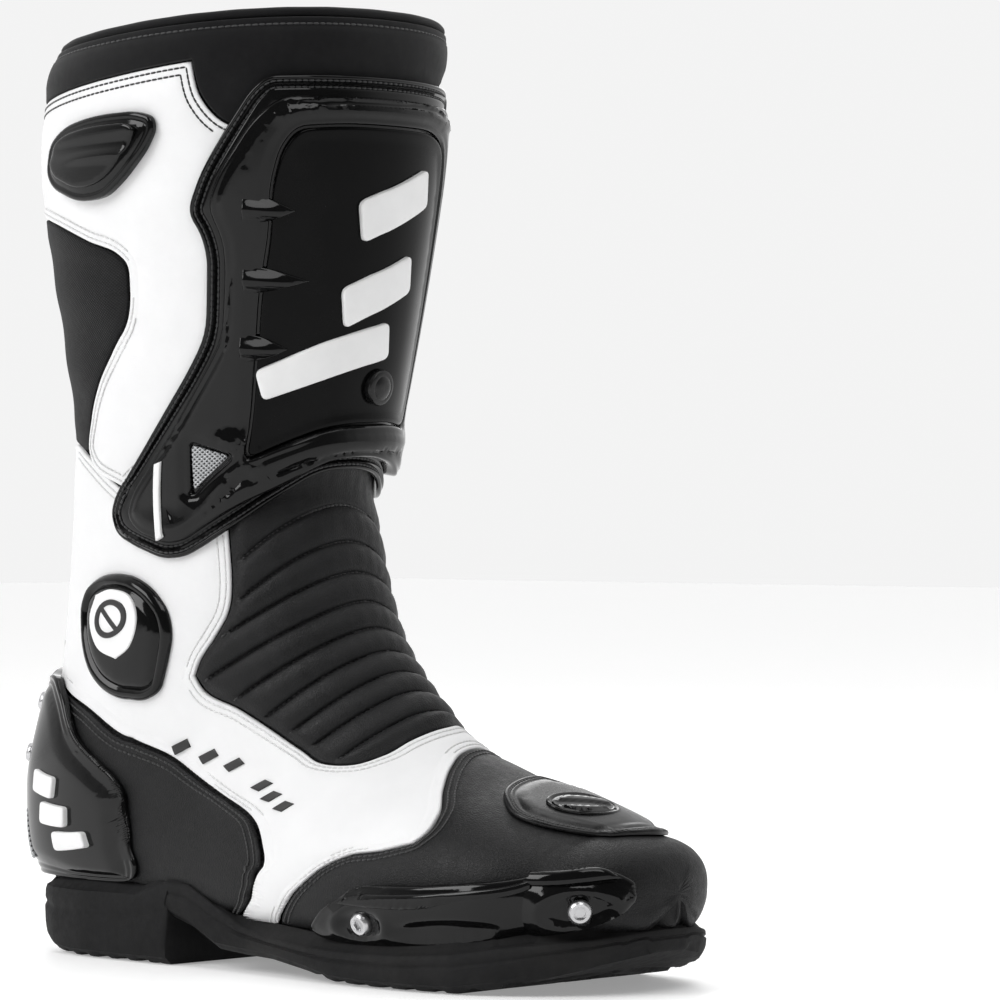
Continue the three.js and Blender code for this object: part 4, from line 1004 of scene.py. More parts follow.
def build_foot_uppers():
    sewn("vamp", VAMP, LEATHER, (1.6, 3.7), THREAD_BLACK,
         keep=lambda s, th: (s < 372) & (np.abs(th) < 122), seed=0.4,
         high=lambda s, th: (2.0 + 2.8 * smooth(105, 165, np.abs(th)) * smooth(418, 434, s)
                             * smooth(450, 440, s)))
    pad_top = lambda s, th: 4.4 + 0.5 * smooth(20, 0, np.abs(th + 8))
    pad = Patch(PAD, PLATE, pad_top, roll=1.0, rings=rows((1.8, 3.4)) + [4.6], step=2.0,
                relief=lambda s, th, d: groove(d, 1.8, 0.5, 0.4) + groove(d, 3.6, 0.45, 0.5)
                + 0.7 * smooth(3.8, 6.5, d))
    attach(pad.build("shift_pad", MATTE), "shift_pad")
    attach(thread("shift_pad_stitches", pad.seam(1.8), pad.height, THREAD_BLACK, 2.8, 2.1),
           body="foot")
    motif = lambda s, th, d: (groove(d, 1.6, 0.5, 0.7) - 0.5 * smooth(2.2, 2.8, d)
                              + 0.9 * smooth(0.55, 0.85,
                                             np.abs(np.sin((s - 394) / 4.2 + (th - 4) / 9)))
                              * smooth(2.6, 3.4, d))
    emblem = Patch(oval(394, 0, 13, 15, 32), 5.2, 6.0, roll=0.5, rings=(1.1, 1.6, 2.1, 2.8),
                   step=0.9, relief=motif)
    attach(emblem.build("toe_emblem", GLOSS), "toe_emblem")
    beside_heel = lambda s, th: (s > 228) & (s < 344) & (th > 72)
    beside_vamp = lambda s, th: (s > 318) & (th < 70)
    white_edge = lambda s, th: ((s > 148) & (np.abs(th) < 128)
                                & ~beside_heel(s, th) & ~beside_vamp(s, th))
    sewn("quarter_white", QUARTER, WHITE, (1.8, 4.0), THREAD_WHITE, keep=white_edge, seed=1.1,
         size=0.8, high=2.1)
    sewn("heel_panel", HEEL, LEATHER, (1.6, 3.7), THREAD_BLACK, seed=2.2,
         keep=lambda s, th: ((th > 60) & (th < 136)) | ((th > 225) & (s < 330)))
    sewn("medial_quarter_front", MEDIAL_FRONT, SUEDE, (1.6,), THREAD_GREY, seed=0.9, high=1.8)
    sewn("medial_quarter_rear", MEDIAL_REAR, SUEDE, (1.6,), THREAD_GREY, seed=1.9, high=1.8)
    bars = []
    for i in range(7):
        if i == 3:
            continue
        s = 262 + i * 8.2
        th = (76.0, 69.8, 64.9, 63.5, 63.4, 64.9, 66.1)[i]
        tall = 3.6
        outline = [[s - 1.2, th - tall + 1.5], [s + 2.6, th - tall - 0.4 + 1.5],
                   [s + 3.4, th + tall - 1.6], [s - 0.4, th + tall - 1.2]]
        bars.append(Patch(outline, 2.0, 3.0, roll=0.25, step=1.2,
                          corner=20).build(f"bar_{i}", INK))
    attach(joined("quarter_print", bars), body="bend")


# ---------------------------------------------------------------- folding parts
RIDGE = np.array([150.0, 177, 193, 205, 216, 228, 242, 256, 270, 285, 300])
DROOP = np.array([20.0, 22, 18, 19, 23, 25, 23, 20, 17, 15, 14])
REACH = np.array([50.0, 50, 51, 61, 66, 62, 55, 50, 47, 45, 44])


def seam_s(th):
    """Stations of the bellows' seams at each angle, one column for each seam."""
    th = np.abs(np.asarray(th, float))[:, None]
    return RIDGE + DROOP * (np.minimum(th / REACH, 1.25)) ** 1.6


def rib_place(s, th):
    """Which rib each place is on, and how far across it, 0 to 1."""
    lines = seam_s(th)
    i = np.clip((lines <= s[:, None]).sum(1) - 1, 0, len(RIDGE) - 2)
    a = np.take_along_axis(lines, i[:, None], 1)[:, 0]
    b = np.take_along_axis(lines, i[:, None] + 1, 1)[:, 0]
    return i, np.clip((s - a) / np.maximum(b - a, 1), 0, 1)


BELLOWS = [
    [160, -49.8], [160, -34], [160, -18], [160, 0], [160, 18], [160, 34], [160, 49.8],
    [185, 49.8], [215, 55.3], [223, 61.3], [231, 67.2], [236, 69.1],
    [242, 67], [256, 57.6], [273, 50.6], [286, 47.6], [296, 46.6], [303.7, 41.5], [305, 32],
    [300.6, 20], [296.6, 2], [294.6, -15], [299.6, -25], [302.6, -37], [296.6, -45.2],
    [273, -49.6], [256, -55.6], [236, -62], [215, -53.7], [185, -49.8],
]


def build_bellows():
    def puff(s, th, d):
        i, u = rib_place(s, th)
        pillow = (4 * u * (1 - u)) ** 0.42
        wrinkle = 0.10 * np.sin(th * 0.9 + i * 2.3) * np.sin(np.pi * u)
        crease = 0.07 * np.sin(th * 2.7 + i * 1.7 + s * 0.4) * np.exp(-((u - 0.12) / 0.12) ** 2)
        tall = 2.5 * smooth(170, 186, s) + 0.5
        return (tall * pillow - 0.9 + wrinkle + crease) * smooth(0.0, 5.0, d)

    places = []
    fractions = (0.0, 0.035, 0.08, 0.15, 0.25, 0.38, 0.5, 0.62, 0.75, 0.85, 0.92, 0.965)
    for th in np.arange(-72, 73, 1.9):
        lines = seam_s(np.array([th]))[0]
        for a, b in zip(lines[:-1], lines[1:]):
            places += [(a + (b - a) * f, th) for f in fractions]
    patch = Patch(BELLOWS, UPPER, 2.1, roll=0.8, rings=(1.6, 2.8), extra=places, relief=puff)
    obj = attach(patch.build("accordion_front", LEATHER), "accordion_front")
    paths = []
    for k in range(1, len(RIDGE) - 1):
        th = np.arange(-70, 70.1, 1.5)
        line = np.stack([seam_s(th)[:, k], th], 1)
        good = inside(line, patch.line)
        good[good] &= reach(line[good], [patch.line]) > 1.2
        paths += runs(line, good, closed=False)
    attach(thread("accordion_stitches", paths, lambda s, th: patch.height(s, th) + 0.3,
                  THREAD_BLACK, 2.9, 2.2, 0.42), body="bend")

    def fold(s, th, d):
        u = ((s - ACHILLES_START) / ACHILLES_PITCH) % 1
        grow = smooth(146, 155, s) * smooth(222, 212, s)
        return (2.0 * grow * (4 * u * (1 - u)) ** 0.45 - 0.3) * smooth(0, 4, d)

    places = [(ACHILLES_START + ACHILLES_PITCH * (k + f), th) for k in range(7) for f in fractions
              for th in np.arange(149, 210, 2.4)]
    achilles = Patch(box(145.6, 227.4, 148.8, 209.6), UPPER, 2.1, roll=0.8, rings=(1.6,),
                     extra=places, relief=fold)
    obj = attach(achilles.build("achilles_accordion", LEATHER), "achilles_accordion")
    paths = [np.stack([np.full(30, ACHILLES_START + ACHILLES_PITCH * k),
                       np.linspace(150.5, 208, 30)], 1) for k in range(1, 7)]
    attach(thread("achilles_stitches", paths, lambda s, th: achilles.height(s, th) + 0.1,
                  THREAD_BLACK, 2.9, 2.2, 0.34), body="bend")


# ---------------------------------------------------------------- hard parts of the foot
CUP = [
    [224, 150], [224, 132], [233, 119], [245, 109], [254, 100], [264, 93], [272, 91], [288, 93],
    [303, 103], [308, 114], [295, 122], [287.5, 131], [283.5, 140], [281, 148], [278, 162],
    [276.5, 180], [278, 198], [281, 212], [283.5, 220], [287.5, 229], [295, 238], [306, 246],
    [302, 254], [288, 259], [277, 254], [268, 243], [254, 233], [240, 226], [228, 218],
    [222, 205], [220, 180], [221, 160],
]
SLIDER = [
    [357, 112], [359, 96], [364, 87], [387, 81.5], [403, 76.5], [415, 72], [426, 66], [435, 58],
    [440, 66], [441, 90], [438, 111], [425, 118], [400, 121], [375, 121], [361, 119],
]
SCREW_REAR, SCREW_FRONT = (371, 103), (431, 96)
SCREW_WELLS = ((SCREW_REAR, 0.80), (SCREW_FRONT, 0.52))  # place, mm for one degree
GUARD = [
    [195, 91], [194, 101], [197, 110], [204, 114], [214, 112], [225, 106], [232, 100],
    [238, 92], [241, 85], [239, 80], [231, 78], [219, 75], [210, 76], [201, 82],
]


def build_heel():
    crown = lambda s, th: 4.6 + 1.4 * smooth(70, 20, np.abs(th - 180)) + 0.9 * smooth(300, 250, s)

    def ribs(s, th, d):
        steps = groove(d, 2.1, 0.5, 0.8) + groove(d, 4.3, 0.5, 0.8)
        field = 0.8 * smooth(5.5, 9.0, d)
        hollow = -1.3 * np.exp(-(((s - 266) / 9) ** 2 + ((np.abs(th - 180) - 22) / 9) ** 2))
        spine = 0.9 * np.exp(-((th - 180) / 7) ** 2) * smooth(4, 9, d)
        return steps + field + hollow + spine

    cup = Patch(fillet(CUP, 6), PLATE, crown, roll=1.2,
                rings=(1.6, 2.1, 2.6, 3.2, 3.8, 4.3, 4.8, 5.8), step=1.15,
                corner=0, soften=3, relief=ribs)
    attach(cup.build("heel_cup", GLOSS, 60), "heel_cup")
    marks = []
    for k in range(3):
        s, th = 252 + 11 * k, 121 - 5.2 * k
        outline = [[s, th + 7], [s + 6.5, th + 8.5], [s + 12, th - 5], [s + 5.5, th - 6.5]]
        marks.append(Patch(fillet(outline, 1.6), 5.5, 8.2, roll=0.7, step=1.5,
                           corner=0).build(f"mark_{k}", BADGE))
    attach(joined("heel_badge", marks), "heel_badge")
    for node, place in (("heel_screw_upper", (232, 152)), ("heel_screw_lower", (246, 150))):
        attach(turned(node, *place, socket_screw(3.6, 6.4, 8.9), STEEL), node)
    vent = Patch([[262, 141], [262, 153], [275, 151], [277, 142]], 6.4, 7.3, roll=0.3, step=2.0)
    attach(vent.build("heel_vent", NET), body="foot")


def build_slider():
    bulge = lambda s, th: (4.9 + 2.6 * smooth(62, 88, th) * smooth(445, 425, s))

    def relief(s, th, d):
        scoop = -2.6 * smooth(1.15, 0.6, np.hypot((s - 395) / 16, (th - 104) / 8.5))
        seats = sum(-2.4 * smooth(6.6, 5.3, np.hypot(s - a, (th - b) * c))
                    for (a, b), c in SCREW_WELLS)
        lips = sum(1.0 * np.exp(-((np.hypot(s - a, (th - b) * c) - 7.2) / 1.0) ** 2)
                   for (a, b), c in SCREW_WELLS)
        return scoop + seats + lips + groove(d, 2.2, 0.5, 0.35)

    body = Patch(fillet(SLIDER, 6), PLATE, bulge, roll=1.6, rings=(2.2, 2.9), step=1.1, corner=0,
                 soften=2, relief=relief)
    attach(body.build("toe_slider", GLOSS, 60), "toe_slider")
    strip = [[362, 94], [364, 90.5], [388, 85], [403, 80.5], [415, 76], [426, 69.5], [434, 62.5],
             [437, 68], [430, 76], [417, 82.5], [404, 86.5], [389, 90.5]]
    ridge = lambda s, th: 8.4 - 0.9 * np.exp(-((s - 402) / 9) ** 2)
    top = Patch(strip, 4.6, ridge, roll=1.3, step=1.3, soften=2)
    attach(top.build("toe_slider_strip", GLOSS), "toe_slider_strip")
    for node, place in (("slider_screw_rear", SCREW_REAR), ("slider_screw_front", SCREW_FRONT)):
        attach(turned(node, *place, socket_screw(4.2, 4.6, 7.6, 2.0), STEEL), node)


def build_ankle_guard():
    def rim(s, th, d):
        lip = 0.9 * smooth(0.6, 1.6, d) * smooth(4.2, 3.2, d)
        return lip + groove(d, 4.4, 0.5, 0.8) + 0.5 * smooth(5.0, 7.0, d)

    dome = lambda s, th: 4.6 + 2.4 * smooth(1, 0.35, np.hypot((s - 216) / 24, (th - 94) / 20))
    body = Patch(fillet(GUARD, 6), PLATE, dome, roll=1.4,
                 rings=(2.2, 3.2, 3.9, 4.4, 4.9, 5.6, 7.0), step=1.6, corner=0, soften=1,
                 relief=rim)
    attach(body.build("ankle_guard", GLOSS, 60), "ankle_guard")
    insert = [[201, 100], [200, 94], [204, 87], [210, 85], [221, 88], [224, 92], [218, 100],
              [208, 103]]
    white = Patch(insert, 6.8, 8.1, roll=0.6, step=1.4)
    attach(white.build("ankle_guard_insert", BADGE), "ankle_guard_insert")
    ring = Patch(oval(210, 94, 6.5, 6, 36), 7.6, 8.6, roll=0.4,
                 holes=[oval(210, 94, 4.6, 4.2, 30)], step=0.9)
    bar = Patch([[205.5, 96.5], [214.5, 90.3], [214.9, 91.7], [206, 98]], 7.6, 8.5, roll=0.3,
                step=0.9)
    attach(joined("ankle_guard_ring", [ring.build("ring", INK), bar.build("ring_bar", INK)]),
           "ankle_guard_ring")


# ---------------------------------------------------------------- shaft
CALF = [
    [18.6, 209.6], [18.6, 132], [14.4, 63], [27, 59.4], [37.2, 50], [37.2, 36.8], [159.3, 36.8],
    [159.3, 86.4], [165, 92.5], [151, 113.2], [149.4, 114], [135, 110], [124, 103], [113, 94],
    [102, 87.2], [91, 85.2], [82.4, 85.4], [78.6, 88.4], [73.4, 98], [65.4, 116], [61, 135],
    [60, 160], [60, 209.6],
]
STRETCH_PANEL = [
    [60.7, 209.6], [60.7, 160], [61.7, 135.4], [66.2, 116.6], [74.1, 98.7], [79.2, 89.4],
    [82.8, 86.4], [91, 86.2], [102, 88.2], [113, 95], [124, 104], [135, 111], [149, 115],
    [144.9, 129.2], [144.9, 209.6],
]
COLLAR = [
    [1, -180], [1, -70], [1, 65], [1, 180], [17.8, 180], [17.8, 132], [13.7, 62.5],
    [26.3, 58.8], [36.5, 49.4], [36.5, 36], [23.5, 36], [23.5, -36], [17.8, -37.5], [17.8, -180],
]


def build_shaft():
    top_edge = lambda s, th: (s < 40) & (th > 38) & (th < 205)
    calf = sewn("calf_panel_white", CALF, WHITE, (1.8, 4.2), THREAD_BLACK, keep=top_edge, seed=0.2,
                size=0.7, high=2.1)
    lower = [run for i in (1.8, 3.8)
             for run in calf.seam(i, lambda s, th: (s > 58) & (th > 84) & (th < 205))]
    attach(thread("calf_panel_white_seam", lower, calf.height, THREAD_WHITE), body="shaft")
    folds = lambda s, th, d: (0.45 * np.sin((s + 0.15 * th) / 4.1) * smooth(2, 10, d)
                              * smooth(165, 120, th))
    stretch = Patch(STRETCH_PANEL, UPPER, 1.7, roll=0.6, step=2.4, relief=folds)
    attach(stretch.build("calf_stretch_panel", STRETCH), "calf_stretch_panel")
    under = Patch(box(24.2, 159.3, -35, 35), UPPER, 1.8, roll=0.5, step=4.0)
    attach(under.build("shin_underlay", STRETCH), "shin_underlay")
    sewn("medial_shaft_front", box(18.6, 159.3, -89.6, -37.8), SUEDE, (1.6, 3.4), THREAD_GREY,
         seed=0.6, keep=lambda s, th: th < -60, high=1.8)
    sewn("medial_shaft_rear", box(18.6, 158.9, -149.6, -104.6), SUEDE, (1.6, 3.4), THREAD_GREY,
         seed=1.6, high=1.8)

    def bulge(s, th, d):
        soft = 0.8 * np.sin(np.pi * np.clip(s / 17, 0, 1)) ** 0.8 * smooth(0, 5, d)
        folds = 0.12 * np.sin(th / 5.5) * np.sin(s / 3.5 + th / 40) * smooth(2, 7, d)
        return soft + folds + groove(s, 3.6, 0.7, 0.5)

    collar = Patch(COLLAR, UPPER, lambda s, th: 1.9 + 1.4 * smooth(22, 9, s), roll=0.6,
                   rings=(1.5, 2.6), step=2.0, relief=bulge)
    attach(collar.build("collar", NEOPRENE), "collar")
    top = [np.stack([np.full(240, 3.6), np.linspace(-178, 178, 240)], 1)]
    attach(thread("collar_stitches", top, collar.height, THREAD_GREY, 3.2, 2.3), body="shaft")
    attach(binding(), "collar_binding")


def binding():
    """The rolled edge on top of the collar."""
    n, sides = 240, 16
    i, k = np.meshgrid(np.arange(n), np.arange(sides), indexing="ij")
    a = k.ravel() / sides * 2 * np.pi
    th = i.ravel() / n * 360.0
    plump = 1 + 0.02 * np.sin(th * np.pi / 180 * 23)
    points = skin(-0.9 + 2.0 * plump * np.cos(a), th, 0.2 + 2.5 * plump * np.sin(a))
    faces = []
    for i in range(n):
        for k in range(sides):
            j, m = (i + 1) % n, (k + 1) % sides
            faces.append((i * sides + k, i * sides + m, j * sides + m, j * sides + k))
    faces = outward(points, np.array(faces))
    return mesh_object("collar_binding", points, faces, NEOPRENE, 80)


def build_calf_guard():
    rim = [[59, 97], [53, 109], [47, 113], [36, 112], [31, 104], [29, 92], [29.5, 79], [32, 73],
           [37, 72], [44, 75], [53, 82], [59, 89]]
    field = [[54, 97], [49, 106], [45, 108.5], [38, 107.5], [34.5, 101], [33, 91], [33.5, 80],
             [36, 77], [43, 79.5], [51, 86], [54, 91]]
    frame_patch = Patch(fillet(rim, 5), PLATE, lambda s, th: 5.4 + 1.2 * smooth(30, 50, s),
                        roll=1.4, step=1.8, rings=(2.0, 2.6, 3.2), corner=0, soften=1,
                        relief=lambda s, th, d: groove(d, 2.6, 0.5, 0.6))
    attach(frame_patch.build("calf_guard", GLOSS, 60), "calf_guard")

    def facets(s, th, d):
        fin = (1.1 * smooth(2.2, 0.4, np.abs(s - 43.5 - 0.02 * (th - 92) ** 2 * 0.3))
               * smooth(106, 90, th))
        return -0.8 * smooth(4, 0, np.abs(s - 40)) + fin

    inner = Patch(fillet(field, 4), 6.0, 7.9, roll=0.9, step=1.2, corner=0, soften=1,
                  relief=facets)
    attach(inner.build("calf_guard_insert", GLOSS, 60), "calf_guard_insert")


# ---------------------------------------------------------------- shin plate
WINDOW = [
    [39, 29], [46, 33.5], [58, 36], [74, 36], [96, 39], [118, 40], [139, 41], [156, 42.5],
    [150, 31], [144, 16], [142, 4], [141, -16], [142, -32], [137, -40], [110, -39], [80, -37],
    [55, -35], [42, -31], [38, -18], [38, 14],
]
FLANGE = [
    [21, 39], [26, 44], [39, 51], [53, 58], [66, 62], [74, 58], [82, 56.5], [109, 58],
    [122, 65], [144, 80], [168, 94], [174, 96], [181, 94], [186, 88], [192.5, 76], [193, 68],
    [190, 60], [182, 44], [172, 28], [162, 12], [160.5, -5], [163, -22], [171, -38], [173, -50],
    [165, -60], [144, -65], [122, -67], [109, -69], [82, -69], [66, -68], [53, -64], [39, -56],
    [26, -44], [21, -38],
]
SHELL = [
    [28, 35], [36, 43], [53, 52], [64, 55.5], [76, 51], [85, 50.5], [110, 52], [123, 59],
    [146, 72.5], [168, 86], [176, 88], [182, 84], [187.5, 73], [187, 66], [176, 45],
    [167, 28], [156, 12], [154, -5], [157, -22], [163, -36], [160, -46], [140, -50],
    [110, -50], [76, -49], [55, -46], [36, -41], [28, -34],
]


def build_shin_plate():
    sewing = lambda s, th, d: (groove(d, 1.9, 0.5, 0.8) + groove(d, 4.1, 0.5, 0.8)
                               + 0.5 * smooth(2.4, 2.9, d) * smooth(3.6, 3.1, d))
    flange = Patch(fillet(FLANGE, 7), PLATE, 4.7, roll=1.0, rings=rows((1.9, 4.1)) + [3.0, 5.4],
                   step=3.0, corner=0, relief=sewing)
    attach(flange.build("shin_flange", GLOSS, 60), "shin_flange")
    rows_in = flange.seam(1.9) + flange.seam(4.1)
    attach(thread("shin_flange_stitches", rows_in, flange.height, THREAD_GREY, 3.0, 2.2, 0.4,
                  0.25), body="shaft")

    raise_ = lambda s, th: 7.3 + 1.6 * smooth(60, 25, np.abs(th)) * smooth(24, 60, s)
    cut = [[s + (0.8 if s > 100 else -0.8), th + 0.9 * (1 if th > 0 else -1)] for s, th in WINDOW]
    grille = [[148, 63.5], [153.6, 46.8], [170, 61.8]]

    def form(s, th, d):
        low_band = 1.5 * smooth(9, 6.5, d) * smooth(140, 150, s) * smooth(64, 48, th)
        bridge = 0.9 * smooth(5.5, 3.5, np.abs(s - 31)) * smooth(3, 5, d)
        step = -0.6 * smooth(3.4, 2.6, d)
        return low_band + bridge + step + 0.25 * np.sin(s / 31) * smooth(6, 14, d)

    shell = Patch(fillet(SHELL, 6), 4.8, raise_, roll=1.3,
                  holes=[fillet(cut, 6), fillet(grille, 2)], step=2.2, corner=0, soften=1,
                  rings=(0.7, 1.8, 2.6, 3.4, 5.0, 6.5, 9.0), relief=form)
    attach(shell.build("shin_shell", GLOSS, 60), "shin_shell")
    window = Patch(fillet(WINDOW, 6), 4.8, 6.5, corner=0, roll=0.6, step=2.6, rings=(1.6, 3.0),
                   relief=lambda s, th, d: 0.5 * smooth(3, 1.4, d)
                   + 0.5 * smooth(0, 40, s - 60) * smooth(6, 20, d))
    attach(window.build("shin_window", WINDOW_BLACK, 60), "shin_window")
    net = Patch(fillet([[149, 63], [154, 48.5], [168, 61]], 2), 4.8, 6.3, corner=0, roll=0.3,
                step=1.6)
    attach(net.build("shin_grille", NET), "shin_grille")
    stripe = Patch([[155, 73.5], [185, 73.3], [186, 75.6], [156, 75.9]], 6.6, 8.4, roll=0.4,
                   step=1.2)
    attach(stripe.build("shin_stripe", BADGE), "shin_stripe")
    fins = []
    for k, (s, th, length) in enumerate(((66, 41, 12), (90, 41, 17), (114, 42, 12))):
        outline = [[s - 5.5, th + 4], [s - 4.5, th - 2], [s + 0.5, th - length], [s + 4, th - 3],
                   [s + 5, th + 4]]
        crest = lambda p, q, s=s, th=th, length=length: (
            7.6 + 2.6 * smooth(4.6, 0.2, np.abs(p - s - 0.12 * (th - q)))
            * smooth(length + 2, 0, th - q))
        fins.append(Patch(outline, 6.8, crest, roll=0.5, step=0.8,
                          corner=70).build(f"fin_{k}", GLOSS, 60))
    attach(joined("shin_fins", fins), body="shaft")
    for k, (s, th) in enumerate(((50, 5), (80, 9))):
        outline = [[s, th - 22], [s + 13, th - 24], [s + 27, th + 2], [s + 13, th + 4]]
        node = f"shin_badge_{k + 1}"
        bar = Patch(fillet(outline, 2.5), 6.4, 8.6, roll=0.8, step=2.0, corner=0)
        attach(bar.build(node, BADGE), node)
    third = [[104, -6], [117, -8], [123, 10], [133, 38], [122, 41], [112, 18]]
    extra = Patch(fillet(third, 2.5), 6.4, 8.6, roll=0.8, step=2.0, corner=0)
    attach(extra.build("shin_badge_3", BADGE), body="shaft")
    cap = [[6.4, 6.4], [6.5, 7.2], [6.5, 8.4], [6.1, 9.1], [5.2, 9.5], [4.4, 9.45], [3.9, 9.8],
           [2.6, 10.3], [1.2, 10.45]]
    attach(turned("shin_rivet", 128, -6, cap, MATTE), "shin_rivet")
    for k, s in enumerate((50, 70, 90)):
        tile = [[s, -53], [s + 1, -64.5], [s + 15, -65.5], [s + 15.5, -54]]
        node = f"vent_mesh_{k + 1}"
        attach(Patch(tile, 4.3, 5.4, roll=0.3, step=2.2).build(node, NET), node)


# ---------------------------------------------------------------- zip and storm flap
def zip_teeth(name, s0, s1, w, material, pitch=2.0):
    """Interlocked teeth down the zip line, from both sides in turn."""
    s = np.linspace(s0, s1, 400)
    line = np.hstack([skin(s, np.full(400, ZIP), np.full(400, w)) / MM, s[:, None]])
    spots = resample(line, pitch / 2)
    t = np.gradient(spots[:, :3], axis=0)
    t /= np.linalg.norm(t, axis=1, keepdims=True)
    n = last_normal(spots[:, 3], np.full(len(spots), ZIP))
    n -= t * (n * t).sum(1)[:, None]
    n /= np.linalg.norm(n, axis=1, keepdims=True)
    side = np.cross(n, t)
    points, faces = [], []
    shape = [(-0.4, -0.42), (1.9, -0.42), (2.3, -0.3), (2.3, 0.3), (1.9, 0.42), (-0.4, 0.42)]
    for i in range(len(spots)):
        hand = 1 if i % 2 else -1
        base = len(points)
        for h, grow in ((-0.5, 1.0), (0.35, 1.0), (0.6, 0.8)):
            for across, along in shape:
                points.append(spots[i, :3] + n[i] * h
                              + side[i] * hand * (0.9 + (across - 0.9) * grow)
                              + t[i] * along * grow)
        m = len(shape)
        faces.append(tuple(base + j for j in range(m))[::-1])
        faces.append(tuple(base + 2 * m + j for j in range(m)))
        for r in (0, 1):
            for j in range(m):
                q = (j + 1) % m
                faces.append((base + r * m + j, base + r * m + q, base + (r + 1) * m + q,
                              base + (r + 1) * m + j))
    return mesh_object(name, np.array(points) * MM, faces, material, 30)


def bar_on_zip(name, s0, s1, outline, w0, w1, material):
    """A small flat casting that lies along the zip, with rounded edges."""
    ends = last_point(np.array([s0, s1], float), np.array([ZIP, ZIP]))
    along = ends[1] - ends[0]
    length = np.linalg.norm(along)
    along /= length
    out = last_normal(np.array([(s0 + s1) / 2]), np.array([ZIP]))[0]
    out -= along * out.dot(along)
    out /= np.linalg.norm(out)
    side = np.cross(out, along)
    rim = np.array(outline, float) * (length, 1)
    line = relaxed(divided(rim, lambda a, b: 6), 3)
    centre = line.mean(0)
    bevel = min(0.35, (w1 - w0) / 3)
    levels = ((w0, 0.9), (w0 + bevel, 1.0), (w1 - bevel, 1.0), (w1 - bevel * 0.25, 0.95),
              (w1, 0.84))
    n = len(line)
    points = []
    for w, grow in levels:
        q = centre + (line - centre) * grow
        points.append(ends[0] + along * q[:, :1] + side * q[:, 1:] + out * w)
    cap = [ends[0] + along * centre[0] + side * centre[1] + out * w for w in (w0, w1)]
    points = np.vstack(points + [cap])
    faces = []
    for i in range(n):
        j = (i + 1) % n
        for r in range(len(levels) - 1):
            faces.append((r * n + i, r * n + j, (r + 1) * n + j, (r + 1) * n + i))
        faces.append((len(levels) * n, j, i, i))
        faces.append((len(levels) * n + 1, (len(levels) - 1) * n + i, (len(levels) - 1) * n + j,
                      (len(levels) - 1) * n + j))
    faces = [tuple(dict.fromkeys(f)) for f in faces]
    return mesh_object(name, (points + SHIFT) * MM, faces, material, 40)


def build_zip():
    for node, a, b in (("zip_tape_front", 0.55, 6.7), ("zip_tape_rear", -6.7, -0.55)):
        tape = Patch(box(18.6, 159.3, ZIP + a, ZIP + b), UPPER, 1.5, roll=0.2, step=2.4)
        attach(tape.build(node, TAPE), node)
    attach(zip_teeth("zip_teeth", 19.5, 158, 2.3, ZIP_METAL), "zip_teeth")
    lower = Patch(box(160, ZIP_END, ZIP - 6.9, ZIP + 6.9), UPPER, 1.5, roll=0.2, step=2.4)
    both = joined("zip_lower", [lower.build("lower_tape", TAPE),
                                zip_teeth("lower_teeth", 161, ZIP_END - 1, 2.0, ZIP_METAL)])
    attach(both, "zip_lower")
    attach(bar_on_zip("zip_slider", 22, 34,
                      [[0, -3.2], [0.35, -4.4], [1, -2.6], [1, 2.6], [0.35, 4.4], [0, 3.2]],
                      3.4, 5.7, ZIP_METAL), "zip_slider")
    attach(bar_on_zip("zip_puller", 30, 56,
                      [[0, -2], [0.3, -2.8], [1, -3.4], [1, 3.4], [0.3, 2.8], [0, 2]],
                      6.0, 7.1, ZIP_METAL), "zip_puller")
    flap = [[17, ZIP - 20], [17, ZIP + 17], [130, ZIP + 17], [134, ZIP + 12], [134, ZIP - 15],
            [130, ZIP - 20]]
    insets = (1.8, 3.8)
    cover = Patch(flap, 8.4, 9.8, roll=0.7, rings=rows(insets),
                  relief=stitched(insets, seed=2.5, size=0.9))
    attach(cover.build("storm_flap", SUEDE), "storm_flap")
    paths = [run for i in insets for run in cover.seam(i)]
    attach(thread("storm_flap_stitches", paths, cover.height, THREAD_GREY), body="storm_flap")
    for node, low, high in (("hook_strip", 2.2, 4.0), ("loop_strip", 4.8, 8.2)):
        strip = Patch(box(24, 124, ZIP - 18, ZIP - 11), low, high, roll=0.4, step=1.6,
                      relief=lambda s, th, d: (
                          0.2 * np.sin(s * 2.1) * np.sin(th * 2.3) * smooth(0.4, 1, d)))
        attach(strip.build(node, STRETCH), node)


build_sole()
build_inside()
build_foot_uppers()
build_bellows()
build_heel()
build_slider()
build_ankle_guard()
build_shaft()
build_calf_guard()
build_shin_plate()
build_zip()


# ---------------------------------------------------------------- floor, light and camera
def floor_material():
    look = Look("pale_floor", (0.80, 0.80, 0.80), (0.84, 0.84, 0.84), (0.5, 0.6), patch=2.0)
    look.shader.inputs["Emission Color"].default_value = (1, 1, 1, 1)
    away = look.node("ShaderNodeVectorMath", operation="LENGTH")
    look.tree.links.new(look.coords, away.inputs[0])
    look.tree.links.new(look.ramp(away.outputs["Value"], 0.6, 2.2, *FLOOR_GLOW),
                        look.shader.inputs["Emission Strength"])
    return look.grain(300, 0.00005, 0.3).done()


def build_floor():
    half = FLOOR_HALF
    corners = [(-half, -half, 0), (half, -half, 0), (half, half, 0), (-half, half, 0)]
    obj = mesh_object("floor", corners, [(0, 1, 2, 3)], floor_material())
    obj.location.z = -FLOOR_DROP


def softbox(name, place, target, size, power):
    lamp = bpy.data.lights.new(name, "AREA")
    lamp.shape = "RECTANGLE"
    lamp.size, lamp.size_y = size
    lamp.energy = power
    obj = bpy.data.objects.new(name, lamp)
    obj.location = place
    obj.rotation_euler = (Vector(target) - Vector(place)).to_track_quat("-Z", "Y").to_euler()
    bpy.context.scene.collection.objects.link(obj)


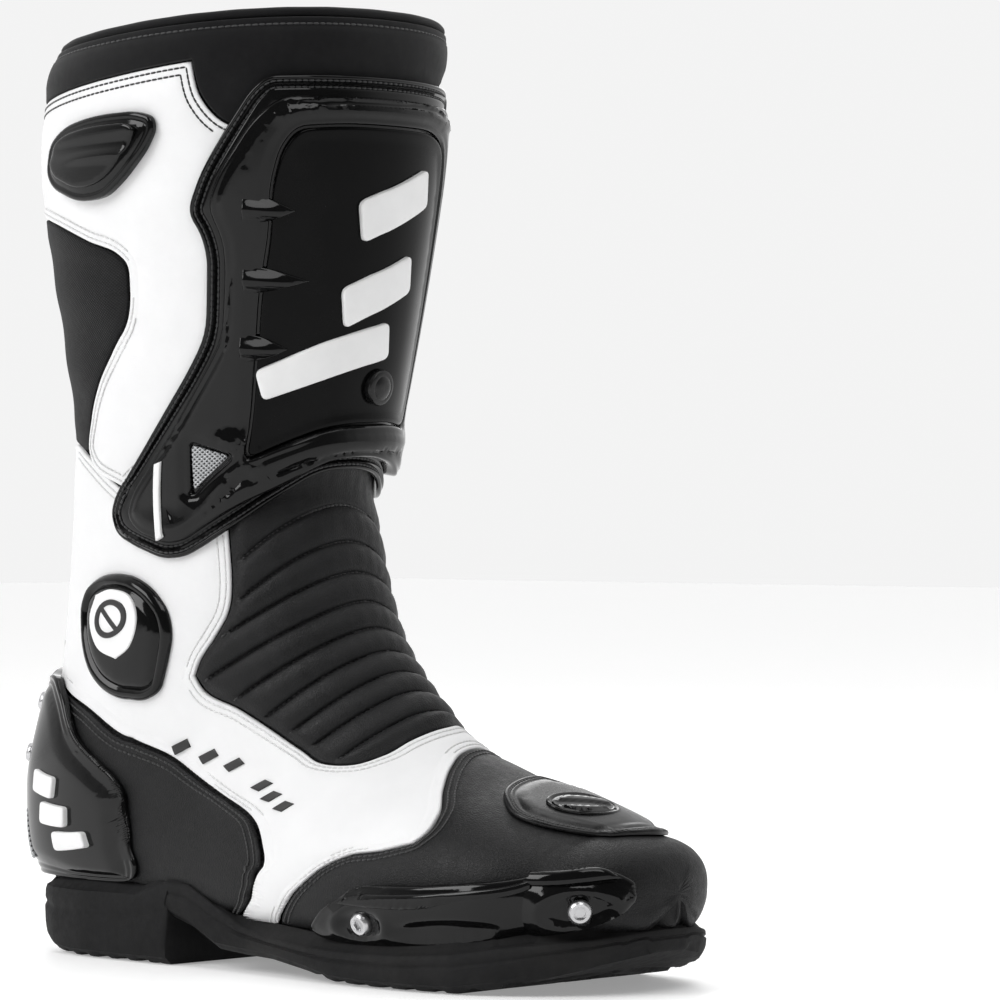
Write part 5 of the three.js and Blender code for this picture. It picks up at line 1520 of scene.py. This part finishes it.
def build_lights():
    middle = (0.0, 0.0, 0.17)
    softbox("key", (-0.5, -1.6, 1.3), middle, (1.0, 1.2), 24)
    softbox("fill", (1.2, -0.5, 1.9), middle, (1.0, 1.0), 11)
    softbox("top", (0.0, 0.2, 2.0), middle, (1.2, 1.2), 8)
    softbox("rim", (-1.3, 1.3, 1.1), middle, (0.8, 1.3), 6)
    world = bpy.data.worlds.new("studio")
    world.use_nodes = True
    tree = world.node_tree
    back = tree.nodes["Background"]
    back.inputs["Color"].default_value = (1, 1, 1, 1)
    coords = tree.nodes.new("ShaderNodeTexCoord")
    facing = tree.nodes.new("ShaderNodeVectorMath")
    facing.operation = "DOT_PRODUCT"
    facing.inputs[1].default_value = (math.sin(CAMERA_AZIMUTH), -math.cos(CAMERA_AZIMUTH), 0)
    span = tree.nodes.new("ShaderNodeMapRange")
    span.interpolation_type = "SMOOTHSTEP"
    for socket, value in (("From Min", -0.35), ("From Max", 0.55), ("To Min", BACKDROP),
                          ("To Max", DARK_SIDE)):
        span.inputs[socket].default_value = value
    tree.links.new(coords.outputs["Generated"], facing.inputs[0])
    tree.links.new(facing.outputs["Value"], span.inputs["Value"])
    tree.links.new(span.outputs["Result"], back.inputs["Strength"])
    bpy.context.scene.world = world


def build_camera():
    right = Vector((math.cos(CAMERA_AZIMUTH), math.sin(CAMERA_AZIMUTH), 0))
    back = Vector((math.sin(CAMERA_AZIMUTH), -math.cos(CAMERA_AZIMUTH), 0))
    data = bpy.data.cameras.new("camera")
    data.sensor_width = SENSOR_WIDTH
    data.lens = LENS
    data.clip_start = 0.1
    obj = bpy.data.objects.new("camera", data)
    place = (Vector(SHIFT * MM) + right * CAMERA_ASIDE + back * CAMERA_DISTANCE
             + Vector((0, 0, CAMERA_HEIGHT)))
    up = Vector((0, 0, 1))
    obj.matrix_world = Matrix((
        (right.x, up.x, back.x, place.x),
        (right.y, up.y, back.y, place.y),
        (right.z, up.z, back.z, place.z),
        (0, 0, 0, 1),
    ))
    bpy.context.scene.collection.objects.link(obj)
    bpy.context.scene.camera = obj


build_floor()
build_lights()
build_camera()
bpy.context.scene.view_settings.view_transform = "Standard"
